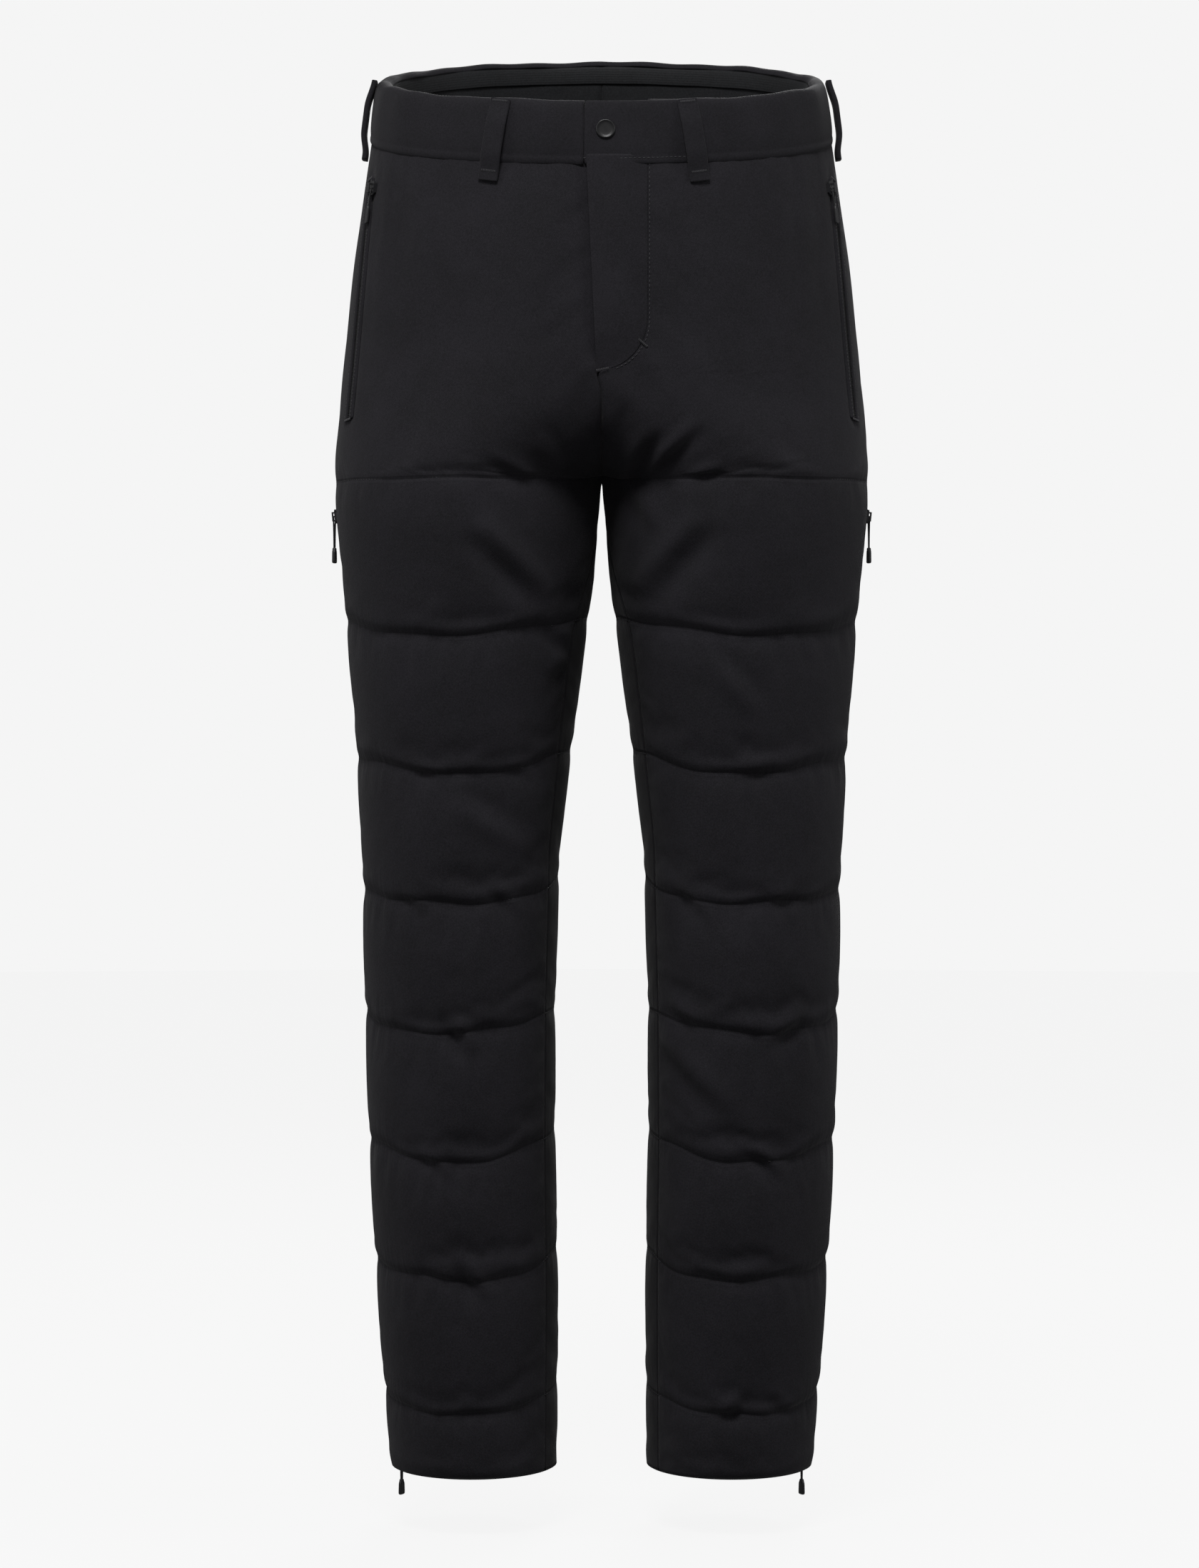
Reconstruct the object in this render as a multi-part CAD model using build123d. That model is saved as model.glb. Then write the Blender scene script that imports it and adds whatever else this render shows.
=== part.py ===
from build123d import *
import math
import os

# Padded ski trousers, held open at the waist as when worn. Millimetres, +Z up, the front faces -Y
# and +X is the wearer's left. The origin is the middle of the waist opening, at the top of the sides.
# "left" and "right" in the names are the wearer's. Every cloth piece is a closed solid that follows
# the same stack of cross-sections, each layer a little further in than the one outside it.

# ---- body of the trousers -------------------------------------------------------------------
HEM_Z = -1081.0
CROTCH_Z = -313.0

# One side's cross-sections are ellipses: height, inner x, outer x, front y, back y. Above the crotch
# the inner x lies past the middle plane, where the two sides meet. The sides between two levels are
# straight.
LEVELS = [
    (40, -167, 167, -110, 117.5),
    (-62, -180, 180, -116.5, 123),
    (-150, -194, 194, -121.5, 131.5),
    (-215, -199, 200, -121.5, 132.5),
    (-258, -140, 204, -119.5, 130.5),
    (-292, -52, 207, -116.5, 126),
    (CROTCH_Z, 0.5, 207.5, -112.5, 118),
    (-390, 6.5, 200.5, -104.5, 107),
    (-500, 21, 191, -93, 94.5),
    (-600, 33, 185, -87, 85.5),
    (-720, 36.5, 182.5, -82.5, 81),
    (-830, 36.5, 179.5, -77.5, 82),
    (-940, 34.5, 173.5, -72, 81),
    (HEM_Z, 35, 163.5, -66, 80),
]

# Layers, as depths below the outer skin
SHELL = (0.0, 1.2)
PADDING = (1.8, 8.2)
LINING = (9.0, 9.8)
HEM_FACING = (1.8, 2.8)
STORM_FLAP = (6.4, 7.4)
POCKET_BAG_LAYERS = ((5.2, 6.0), (7.4, 8.2))
SEAM_GAP = 0.3
MIDDLE_GAP = 0.15

# Seams, as y over z: the side seam runs down to the side zip, and the zip down to the hem
SIDE_SEAM_Y = 12.0
ZIP_TOP = (18.0, -335.0)
ZIP_KNEE = (26.0, -600.0)
ZIP_CALF = (36.5, -830.0)
ZIP_END = (48.0, -1079.0)
ZIP_SLOT = 13.4
INNER_PANEL_FRONT = ((-62.0, CROTCH_Z - 20), (-44.0, -640.0), (-34.0, HEM_Z))
INNER_PANEL_BACK = ((66.0, CROTCH_Z - 20), (48.0, -640.0), (46.0, HEM_Z))
LEG_MIDDLE_X = 105.0
ZIP_LINE = (ZIP_TOP, ZIP_KNEE, ZIP_CALF, ZIP_END)
QUILT_LINES = (-319.0, -431.0, -535.0, -635.0, -733.0, -830.0, -922.0, -1025.0)
QUILT_GAP = 1.2
LINING_END_Z = -1046.0
HEM_FACING_TOP_Z = -1032.0

# ---- waistband ------------------------------------------------------------------------------
BAND_TILT = math.degrees(math.atan(0.3026))
BAND_TOP_Z = -6.2  # where the tilted top edge crosses y = 0
BAND_HEIGHT = 43.0
BAND = (-1.0, 1.6)
UNDERLAP = (5.0, 7.2)
BAND_LINING = (9.0, 10.2)
UNDERLAP_X = (-42.0, 26.0)

# ---- fly ------------------------------------------------------------------------------------
FLY_EDGE_TOP_X = -13.5
FLY_EDGE_END_X = -4.0
FLY_HINGE_X = 34.0
FLY_END_Z = -242.5
FLY_CURVE_R = 36.0
FLY_SHIELD = (11.2, 12.2)
FLY_SHIELD_X = (-30.0, 26.0)
FLY_ZIP_X = 6.0
FLY_ZIP_DEPTH = 7.4
FLY_ZIP_Z = (-96.0, -232.0)

# ---- snap -----------------------------------------------------------------------------------
SNAP_X = 2.8
SNAP_Z = -62.0
SNAP_R = 7.5
STUD_R = 1.8
SOCKET_BORE_R = 2.2

# ---- belt loops -----------------------------------------------------------------------------
LOOP_W = 15.0
LOOP_LENGTH = 60.0
LOOP_T = 1.6
LOOP_GAP = 6.5
LOOP_FRONT_X = (-78.0, 68.0)
LOOP_BACK_X = (-62.0, 62.0)
LOOP_SIDE_Y = 4.0

# ---- zips -----------------------------------------------------------------------------------
POCKET_ZIP = ((178.0, -85.0), (194.5, -272.0))  # x and z of its top and bottom end
POCKET_ZIP_Y = (-36.0, -42.0)
POCKET_SLOT_W = 13.0
TAPE_T = 1.0
SIDE_TAPE_W = 24.0
POCKET_TAPE_W = 11.0
FLY_TAPE_W = 26.0
COIL_W = 4.6
COIL_T = 1.7
SLIDER_L = 11.0
SLIDER_W = 8.4
SLIDER_PLATE_T = 1.0
BAIL_W = 2.4
BAIL_H = 2.8
BAIL_SPAN = 7.4
CORD_R = 0.7
TOP_PULL_DROP = 24.0
BOTTOM_PULL_DROP = 30.0
POCKET_PULL_DROP = 9.0
TAB_L = 12.5
TAB_TOP_W = 5.0
TAB_END_W = 6.6
TAB_T = 2.6
POCKET_TAB_L = 20.0
TOP_SLIDER_Z = -342.0
BOTTOM_SLIDER_Z = -1071.0

LARGE = 2000.0

os.makedirs("parts", exist_ok=True)


# ---- cross-sections -------------------------------------------------------------------------
def level_at(z):
    """Inner x, outer x, front y and back y at height z, between the two nearest levels."""
    for upper, lower in zip(LEVELS, LEVELS[1:]):
        if z >= lower[0]:
            share = (upper[0] - z) / (upper[0] - lower[0])
            return [a + share * (b - a) for a, b in zip(upper[1:], lower[1:])]
    return LEVELS[-1][1:]


def curve(x_in, x_out, y_front, y_back, depth):
    """Middle and half-sizes of a cross-section that lies depth below the outer skin."""
    middle = ((x_in + x_out) / 2, (y_front + y_back) / 2)
    return middle, (x_out - x_in) / 2 - depth, (y_back - y_front) / 2 - depth


def fullness(share):
    """How far out the other axis is, where one axis is at this share of its half-size."""
    return math.sqrt(max(0.0, 1 - share**2))


def front_y(x, z, depth=0.0):
    middle, a, b = curve(*level_at(z), depth)
    return middle[1] - b * fullness((x - middle[0]) / a)


def back_y(x, z, depth=0.0):
    middle, a, b = curve(*level_at(z), depth)
    return middle[1] + b * fullness((x - middle[0]) / a)


def outer_x(y, z, depth=0.0):
    middle, a, b = curve(*level_at(z), depth)
    return middle[0] + a * fullness((y - middle[1]) / b)


def section(level, depth):
    middle, a, b = curve(*level[1:], depth)
    return Plane(origin=(*middle, level[0])) * Ellipse(a, b)


def block(low, high):
    """A box between two corners."""
    size = [b - a for a, b in zip(low, high)]
    middle = [(a + b) / 2 for a, b in zip(low, high)]
    return Pos(*middle) * Box(*size)


BODIES = {}


def body(depth):
    """Everything inside the left side's skin at that depth, from over the waist to the hem."""
    if depth not in BODIES:
        BODIES[depth] = loft([section(level, depth) for level in LEVELS], ruled=True)
    return BODIES[depth]


def tube(depths):
    """The left side's tube of cloth between two depths. Near the waist it is the whole body's."""
    return body(depths[0]) - body(depths[1])


def layer(depths):
    """The left side's tube, cut at the middle plane."""
    return tube(depths) & block((MIDDLE_GAP, -LARGE, -LARGE), (LARGE, LARGE, LARGE))


def prism_yz(points, x_low, x_high):
    """A prism along X with this outline in y and z."""
    outline = Plane.YZ * make_face(Polyline(*points, close=True))
    return Pos(x_low, 0, 0) * extrude(outline, amount=x_high - x_low, dir=(1, 0, 0))


def prism_xz(face_sketch, y_low, y_high):
    """A prism along Y of a sketch whose x and y are the frame's x and z."""
    placed = Plane(origin=(0, y_high, 0), x_dir=(1, 0, 0), z_dir=(0, -1, 0)) * face_sketch
    return extrude(placed, amount=y_high - y_low, dir=(0, -1, 0))


def tilted_slab(z_low, z_high):
    """Everything between two planes tilted as the waistband is, given by their z at y = 0."""
    run = LARGE * math.tan(math.radians(BAND_TILT))
    points = [(-LARGE, z_low - run), (LARGE, z_low + run), (LARGE, z_high + run), (-LARGE, z_high - run)]
    return prism_yz(points, -LARGE, LARGE)


def mirrored(shape):
    return mirror(shape, about=Plane.YZ)


def write(name, *shapes):
    """One STEP file for a node, of one or more solids."""
    solids = [s for shape in shapes for s in shape.solids()]
    export_step(solids[0] if len(solids) == 1 else Compound(children=solids), f"parts/{name}.step")


def write_both(name, *shapes):
    write(name + "_left", *shapes)
    write(name + "_right", *[mirrored(s) for s in shapes])


BAND_END_Z = BAND_TOP_Z - BAND_HEIGHT / math.cos(math.radians(BAND_TILT))
BELOW_BAND = tilted_slab(-3 * LARGE, BAND_END_Z - SEAM_GAP)
IN_BAND = tilted_slab(BAND_END_Z, BAND_TOP_Z)


# ---- panels ---------------------------------------------------------------------------------
def zip_y(z):
    """y of the side seam and, below it, of the side zip."""
    points = [(SIDE_SEAM_Y, 60.0), *ZIP_LINE]
    for (y0, z0), (y1, z1) in zip(points, points[1:]):
        if z >= z1:
            return y0 + (z0 - z) / (z0 - z1) * (y1 - y0)
    return ZIP_END[0]


def outer_side(front, slot):
    """The part of the outer half in front of (or behind) the side seam and the side zip's slot."""
    sign = -1 if front else 1
    seam = [(SIDE_SEAM_Y + sign * SEAM_GAP / 2, 60.0), (ZIP_TOP[0] + sign * SEAM_GAP / 2, ZIP_TOP[1] + 6)]
    seam += [(y + sign * slot, z) for y, z in ZIP_LINE]
    seam.append((ZIP_END[0] + sign * slot, HEM_Z - 10))
    far = sign * LARGE
    return prism_yz(seam + [(far, HEM_Z - 10), (far, 60.0)], LEG_MIDDLE_X, LARGE)


def inner_side(front):
    """The part of the inner half in front of (or behind) the inner leg panel."""
    sign, line = (-1, INNER_PANEL_FRONT) if front else (1, INNER_PANEL_BACK)
    middle_y = 3.0
    seam = [(middle_y + sign * SEAM_GAP / 2, 60.0), (middle_y + sign * SEAM_GAP / 2, line[0][1])]
    seam += [(y + sign * SEAM_GAP, z) for y, z in line]
    seam.append((line[-1][0] + sign * SEAM_GAP, HEM_Z - 10))
    far = sign * LARGE
    return prism_yz(seam + [(far, HEM_Z - 10), (far, 60.0)], 0, LEG_MIDDLE_X)


def half(front, slot=ZIP_SLOT):
    return outer_side(front, slot) + inner_side(front)


def between_inner_seams():
    front = list(INNER_PANEL_FRONT) + [(INNER_PANEL_FRONT[-1][0], HEM_Z - 10)]
    back = list(INNER_PANEL_BACK) + [(INNER_PANEL_BACK[-1][0], HEM_Z - 10)]
    top = [(y, z - SEAM_GAP) for y, z in (front[0], back[0])]
    outline = [top[0]] + front[1:] + back[:0:-1] + [top[1]]
    return prism_yz(outline, 0, LEG_MIDDLE_X)


def fly_outline(edge_gap):
    """The fly flap's outline in x and z: straight edges and a quarter round at its lower outer corner."""
    top = -40.0
    edge = [(FLY_EDGE_TOP_X - edge_gap, top), (FLY_EDGE_END_X - edge_gap, FLY_END_Z - edge_gap)]
    hinge = FLY_HINGE_X + edge_gap
    curve_start = (hinge, FLY_END_Z + FLY_CURVE_R * 0.75)
    curve_end = (hinge - FLY_CURVE_R * 0.8, FLY_END_Z + 2.0 - edge_gap)
    lines = Polyline(curve_end, edge[1], edge[0], (hinge, top), curve_start)
    bend = Spline(curve_start, curve_end, tangents=[(0, -1), (-1, -0.18)])
    return make_face(lines + bend)


def fly_prism(edge_gap):
    return prism_xz(fly_outline(edge_gap), -LARGE, 0)


def band_piece(x_low, x_high, front=True):
    """A stretch of the front or back waistband, between two x."""
    y_range = (-LARGE, SIDE_SEAM_Y - SEAM_GAP / 2) if front else (SIDE_SEAM_Y + SEAM_GAP / 2, LARGE)
    return block((x_low, y_range[0], -LARGE), (x_high, y_range[1], LARGE))


# ---- frames for the small parts -------------------------------------------------------------
def frame(origin, up, outward):
    """A plane whose x runs sideways, y up the part and z out of the cloth."""
    up = Vector(*up).normalized()
    outward = Vector(*outward)
    outward = (outward - up * outward.dot(up)).normalized()
    return Plane(origin=origin, x_dir=up.cross(outward), z_dir=outward)


def outward_at(x, y, z):
    """Horizontal outward direction of the skin near a point."""
    middle, a, b = curve(*level_at(z), 0.0)
    return ((x - middle[0]) / a**2, (y - middle[1]) / b**2, 0.0)


def side_zip_frame(z):
    """The side zip's frame at height z, on one of its three straight and flat stretches."""
    for (y0, z0), (y1, z1) in zip(ZIP_LINE, ZIP_LINE[1:]):
        if z >= z1:
            break
    proud = 1.5
    top = Vector(outer_x(y0, z0) + proud, y0, z0)
    end = Vector(outer_x(y1, z1) + proud, y1, z1)
    share = (z0 - z) / (z0 - z1)
    return frame(top + (end - top) * share, top - end, outward_at(*((top + end) / 2)))


def pocket_zip_frame(z):
    """The hand pocket zip's frame at height z. It is one straight stretch."""
    (x0, z0), (x1, z1) = POCKET_ZIP
    share = (z0 - z) / (z0 - z1)
    y0, y1 = POCKET_ZIP_Y
    top = Vector(outer_x(y0, z0), y0, z0)
    end = Vector(outer_x(y1, z1), y1, z1)
    return frame(top + (end - top) * share, top - end, outward_at(*((top + end) / 2)))


def fly_zip_frame(z):
    z0, z1 = FLY_ZIP_Z
    share = (z0 - z) / (z0 - z1)
    top = Vector(FLY_ZIP_X, front_y(FLY_ZIP_X, z0, FLY_ZIP_DEPTH), z0)
    end = Vector(FLY_ZIP_X, front_y(FLY_ZIP_X, z1, FLY_ZIP_DEPTH), z1)
    return frame(top + (end - top) * share, top - end, (0, -1, 0))


def placed(plane, shape):
    return plane.location * shape


# ---- zips -----------------------------------------------------------------------------------
def stretch_of_zip(frame_at, z_top, z_end, width, halves=True):
    """Tape and closed coil of a straight zip between two heights: two tapes that meet under the coil."""
    top, end = frame_at(z_top), frame_at(z_end)
    length = (top.origin - end.origin).length
    slit = 0.2
    half_width = width / 2
    tapes = [
        block((-half_width, -length, -TAPE_T), (-slit, 0, 0)),
        block((slit, -length, -TAPE_T), (half_width, 0, 0)),
    ]
    coil = block((-COIL_W / 2, -length + 2, 0.05), (COIL_W / 2, -2, COIL_T))
    return [placed(top, t) for t in tapes], placed(top, coil)


def slider():
    """A slider that straddles the coil, with a bail on top that the pull's cord goes through."""
    plate_low = COIL_T + 0.3
    plate_high = plate_low + SLIDER_PLATE_T
    plate = block((-SLIDER_W / 2, -SLIDER_L / 2, plate_low), (SLIDER_W / 2, SLIDER_L / 2, plate_high))
    plate = fillet(plate.edges().filter_by(Axis.Z), 2.0)
    wall = COIL_W / 2 + 0.4
    for side in (-1, 1):
        low, high = sorted((side * wall, side * SLIDER_W / 2))
        plate += block((low, -SLIDER_L / 2 + 2.1, 0.35), (high, SLIDER_L / 2 - 2.1, plate_low))
    bail = block(
        (-BAIL_W / 2, -BAIL_SPAN / 2, plate_high),
        (BAIL_W / 2, BAIL_SPAN / 2, plate_high + BAIL_H),
    )
    window = block(
        (-BAIL_W, -BAIL_SPAN / 2 + 1.2, plate_high),
        (BAIL_W, BAIL_SPAN / 2 - 1.2, plate_high + BAIL_H - 0.8),
    )
    return plate + (bail - window)


PIVOT_N = COIL_T + 0.3 + SLIDER_PLATE_T + (BAIL_H - 0.8) / 2  # the cord's height in the bail's window


def pull_cord(drop):
    """A cord doubled through the bail. Its fold lies on the slider's pivot, which is this shape's origin."""
    spread, close = 2.5, 1.2
    path = FilletPolyline(
        (close, -drop, 0), (spread, 0, 0), (-spread, 0, 0), (-close, -drop, 0), radius=1.6
    )
    return sweep(Plane(origin=path @ 0, z_dir=path % 0) * Circle(CORD_R), path=path)


def pull_tab(drop, length):
    """The moulded grip on the cord's ends, wider at its foot."""
    outline = make_face(
        Polyline(
            (-TAB_TOP_W / 2, -drop),
            (TAB_TOP_W / 2, -drop),
            (TAB_END_W / 2, -drop - length),
            (-TAB_END_W / 2, -drop - length),
            close=True,
        )
    )
    tab = Pos(0, 0, -TAB_T / 2) * extrude(outline, amount=TAB_T, dir=(0, 0, 1))
    return fillet(tab.edges(), 0.5)


def upright(plane, pivot):
    """The frame of a pull that hangs straight down from its pivot, whatever way the zip leans."""
    outward = plane.z_dir
    return frame(pivot, (0, 0, 1), (outward.X, outward.Y, 0))


def pull_frame(plane, hangs):
    pivot = plane.origin + plane.z_dir * PIVOT_N
    return upright(plane, pivot) if hangs else frame(pivot, plane.y_dir, plane.z_dir)


def write_side_pull(name, plane, drop):
    at = pull_frame(plane, hangs=True)
    write_both(name + "_cord", placed(at, pull_cord(drop)))
    write_both(name + "_tab", placed(at, pull_tab(drop + 0.1, TAB_L)))


def build_side_zips():
    tapes, coils = [], []
    for (_, z_top), (_, z_end) in zip(ZIP_LINE, ZIP_LINE[1:]):
        pair, coil = stretch_of_zip(side_zip_frame, z_top - 0.4, z_end + 0.4, SIDE_TAPE_W)
        tapes += pair
        coils.append(coil)
    write_both("side_zip_tape", *tapes)
    write_both("side_zip_coil", *coils)
    top, bottom = side_zip_frame(TOP_SLIDER_Z), side_zip_frame(BOTTOM_SLIDER_Z)
    write_both("side_zip_top_slider", placed(top, slider()))
    write_both("side_zip_bottom_slider", placed(bottom, Rot(0, 0, 180) * slider()))
    write_side_pull("side_zip_top", top, TOP_PULL_DROP)
    write_side_pull("side_zip_bottom", bottom, BOTTOM_PULL_DROP)
    # the storm flap lies behind the zip, in the depth of the padding
    flap = layer(STORM_FLAP) & outer_zip_room(17.0)
    flap &= block((0, -LARGE, HEM_Z + 14), (LARGE, LARGE, ZIP_TOP[1]))
    write_both("side_zip_storm_flap", flap)


def build_pocket_zips(front_panel):
    """Writes the hand pockets' zips and bags, and returns the front panel with their slot cut."""
    z_top, z_end = POCKET_ZIP[0][1], POCKET_ZIP[1][1]
    tapes, coil = stretch_of_zip(pocket_zip_frame, z_top, z_end, POCKET_TAPE_W)
    write_both("pocket_zip_tape", *tapes)
    write_both("pocket_zip_coil", coil)
    at = pocket_zip_frame(z_top - 9.0)
    write_both("pocket_zip_slider", placed(at, slider()))
    pull_at = pull_frame(at, hangs=False)
    tab = pull_tab(POCKET_PULL_DROP - 1.0, POCKET_TAB_L)
    write_both("pocket_zip_pull", placed(pull_at, pull_cord(POCKET_PULL_DROP) + tab))
    top = pocket_zip_frame(z_top)
    length = (top.origin - pocket_zip_frame(z_end).origin).length
    slot = block((-POCKET_SLOT_W / 2, -length - 1.5, -20), (POCKET_SLOT_W / 2, 1.5, 20))
    reach = prism_yz([(-98, -150), (4, -96), (4, -300), (-98, -318)], 90, LARGE)
    bag = [layer(depths) & reach for depths in POCKET_BAG_LAYERS]
    write_both("pocket_bag", *bag)
    return front_panel - placed(top, slot)


def build_legs():
    shell = layer(SHELL) & BELOW_BAND
    fly_cut = fly_prism(SEAM_GAP)
    front = shell & half(front=True)
    back = shell & half(front=False)
    front = build_pocket_zips(front)
    write("front_panel_left", front - fly_cut)
    write("front_panel_right", mirrored(front) - fly_cut)
    write_both("back_panel", back)
    write_both("inner_leg_panel", shell & between_inner_seams())
    build_padding()
    lining = layer(LINING) & BELOW_BAND & block((0, -LARGE, LINING_END_Z), (LARGE, LARGE, 0))
    fly_room = block((-32, -LARGE, FLY_END_Z - 8), (40, 0, 0))
    write("lining_left", lining - fly_room)
    write("lining_right", mirrored(lining) - fly_room)
    facing = layer(HEM_FACING) & block((0, -LARGE, HEM_Z), (LARGE, LARGE, HEM_FACING_TOP_Z))
    facing -= outer_zip_room(16.0)
    write_both("hem_facing", facing)
    # the fly flap is the left front's own extension, past the middle
    write("fly_flap", tube(SHELL) & BELOW_BAND & fly_prism(0.0))


def outer_zip_room(reach):
    """The room that the side zip takes, as a prism through the outer half of the leg."""
    front = [(y - reach, z) for y, z in ZIP_LINE]
    back = [(y + reach, z) for y, z in reversed(ZIP_LINE)]
    outline = front + [(front[-1][0], HEM_Z - 10), (back[0][0], HEM_Z - 10)] + back
    return prism_yz(outline, LEG_MIDDLE_X, LARGE)


def build_padding():
    """Down in separate chambers: one solid for each quilted channel, front and back."""
    padding = layer(PADDING) - outer_zip_room(20.0)
    ends = list(zip(QUILT_LINES, QUILT_LINES[1:]))
    for name, front in (("front_padding", True), ("back_padding", False)):
        sheet = padding & half(front, slot=20.0)
        chambers = [
            sheet & block((0, -LARGE, low + QUILT_GAP), (LARGE, LARGE, high - QUILT_GAP))
            for high, low in ends
        ]
        write_both(name, *chambers)


# ---- waistband, fly and snap ----------------------------------------------------------------
def build_waistband():
    band = tube(BAND) & IN_BAND
    snap_at = snap_frame()
    hole = placed(snap_at, Pos(0, 0, -3) * Cylinder(1.7, 20))
    write("waistband_front_left", band & band_piece(FLY_HINGE_X + SEAM_GAP, LARGE))
    write("waistband_front_right", band & band_piece(-LARGE, FLY_EDGE_TOP_X - SEAM_GAP), underlap() - hole)
    write("waistband_back", band & band_piece(-LARGE, LARGE, front=False))
    write("waistband_tab", (band & band_piece(FLY_EDGE_TOP_X, FLY_HINGE_X)) - hole)
    facing = tube(BAND_LINING) & IN_BAND
    write("waistband_facing", facing - block((FLY_EDGE_TOP_X, -LARGE, -LARGE), (UNDERLAP_X[1], 0, LARGE)))


def underlap():
    """The right waistband's end, which lies behind the tab and carries the stud."""
    strip = block((UNDERLAP_X[0], -LARGE, -LARGE), (UNDERLAP_X[1], 0, LARGE))
    return tube(UNDERLAP) & IN_BAND & strip


def snap_frame():
    at = Vector(SNAP_X, front_y(SNAP_X, SNAP_Z), SNAP_Z)
    up = Vector(SNAP_X, front_y(SNAP_X, SNAP_Z + 20), SNAP_Z + 20) - at
    return frame(at, up, (0, -1, 0))


def ring(outer_r, inner_r, low, high):
    body = Pos(0, 0, (low + high) / 2) * Cylinder(outer_r, high - low)
    if inner_r > 0:
        body -= Pos(0, 0, (low + high) / 2) * Cylinder(inner_r, high - low)
    return body


def build_snap():
    """A four-part press snap: cap and socket on the tab, stud and post on the underlap."""
    at = snap_frame()
    face = -BAND[0] + 0.15
    cap = ring(SNAP_R, 0, face, face + 1.5)
    cap = fillet(cap.edges().group_by(Axis.Z)[-1], 0.7)
    cap += ring(1.4, 0, -BAND[1] - 1.4, face)
    socket_top = -BAND[1] - 0.2
    socket = ring(5.6, 1.6, socket_top - 0.8, socket_top) + ring(5.6, SOCKET_BORE_R, -4.3, socket_top - 0.8)
    stud = ring(4.8, 0, -4.95, -4.5) + ring(STUD_R, 0, -4.5, -3.25)
    post = ring(4.8, 0, -8.6, -7.9) + ring(1.4, 0, -7.9, -5.0)
    write("snap_cap", placed(at, cap))
    write("snap_socket", placed(at, socket))
    write("snap_stud", placed(at, stud))
    write("snap_post", placed(at, post))


def build_fly():
    window = block((FLY_SHIELD_X[0], -LARGE, FLY_END_Z - 4), (FLY_SHIELD_X[1], 0, LARGE))
    write("fly_shield", tube(FLY_SHIELD) & window & BELOW_BAND)
    tapes, coil = stretch_of_zip(fly_zip_frame, FLY_ZIP_Z[0], FLY_ZIP_Z[1], FLY_TAPE_W)
    write("fly_zip_tape", *tapes)
    write("fly_zip_coil", coil)
    at = fly_zip_frame(FLY_ZIP_Z[0] - 8.0)
    write("fly_zip_slider", placed(at, slider()))
    pivot = frame(at.origin + at.z_dir * PIVOT_N, at.y_dir, at.z_dir)
    ring_part = Pos(0, 0, 0) * Rot(0, 90, 0) * Cylinder(0.7, 5.0)
    arms = [block((side * 2.5 - 0.7, -6, -0.7), (side * 2.5 + 0.7, 0.7, 0.7)) for side in (-1, 1)]
    plate = block((-3.2, -20, -0.7), (3.2, -6, 0.7))
    write("fly_zip_pull", placed(pivot, ring_part + arms[0] + arms[1] + plate))


# ---- belt loops -----------------------------------------------------------------------------
def belt_loop():
    """A strap in its own frame: its top is at y = 0 and it stands off the cloth by the belt's room."""
    high = -BAND[0] + LOOP_GAP + LOOP_T
    half = LOOP_W / 2
    strap = block((-half, -LOOP_LENGTH, high - LOOP_T), (half, 0, high))
    strap += block((-half, -3.0, -BAND[0] + 0.3), (half, 0, high))
    strap += block((-half, -LOOP_LENGTH, 0.35), (half, -LOOP_LENGTH + 3.5, high))
    ends = strap.edges().filter_by(Axis.X).group_by(Axis.Z)[-1]
    return fillet(ends, 1.4)


def loop_frame(point_at):
    """The frame of a loop, from a function that gives the skin's point at a height."""
    rough = point_at(BAND_TOP_Z)
    top_z = BAND_TOP_Z + rough.Y * math.tan(math.radians(BAND_TILT)) - 0.5
    top, end = point_at(top_z), point_at(top_z - LOOP_LENGTH)
    return frame(top, top - end, outward_at(top.X, top.Y, top.Z))


def build_belt_loops():
    front = [loop_frame(lambda z, x=x: Vector(x, front_y(x, z), z)) for x in LOOP_FRONT_X]
    back = [loop_frame(lambda z, x=x: Vector(x, back_y(x, z), z)) for x in LOOP_BACK_X]
    side = loop_frame(lambda z: Vector(outer_x(LOOP_SIDE_Y, z), LOOP_SIDE_Y, z))
    write("belt_loops_front", *[placed(f, belt_loop()) for f in front])
    write("belt_loops_back", *[placed(f, belt_loop()) for f in back])
    left = placed(side, belt_loop())
    write("belt_loops_side", left, mirrored(left))


build_legs()
build_side_zips()
build_waistband()
build_snap()
build_fly()
build_belt_loops()
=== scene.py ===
# %% [markdown]
# # Quilted ski trousers
# A pair of black padded ski trousers, held open at the waist as when worn. The frame that is loaded
# here holds the plain, measured pieces: panels, waistband, zips and snap, each at its real place. This
# lesson builds the cloth around it: quilted panels with slack between their seams, a waistband that
# folds over at its top edge, belt loops, zips with real teeth, and the stitching that holds it all.
# Everything is in metres. +Z is up, the front faces -Y, and +X is the wearer's left.

import math

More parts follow.
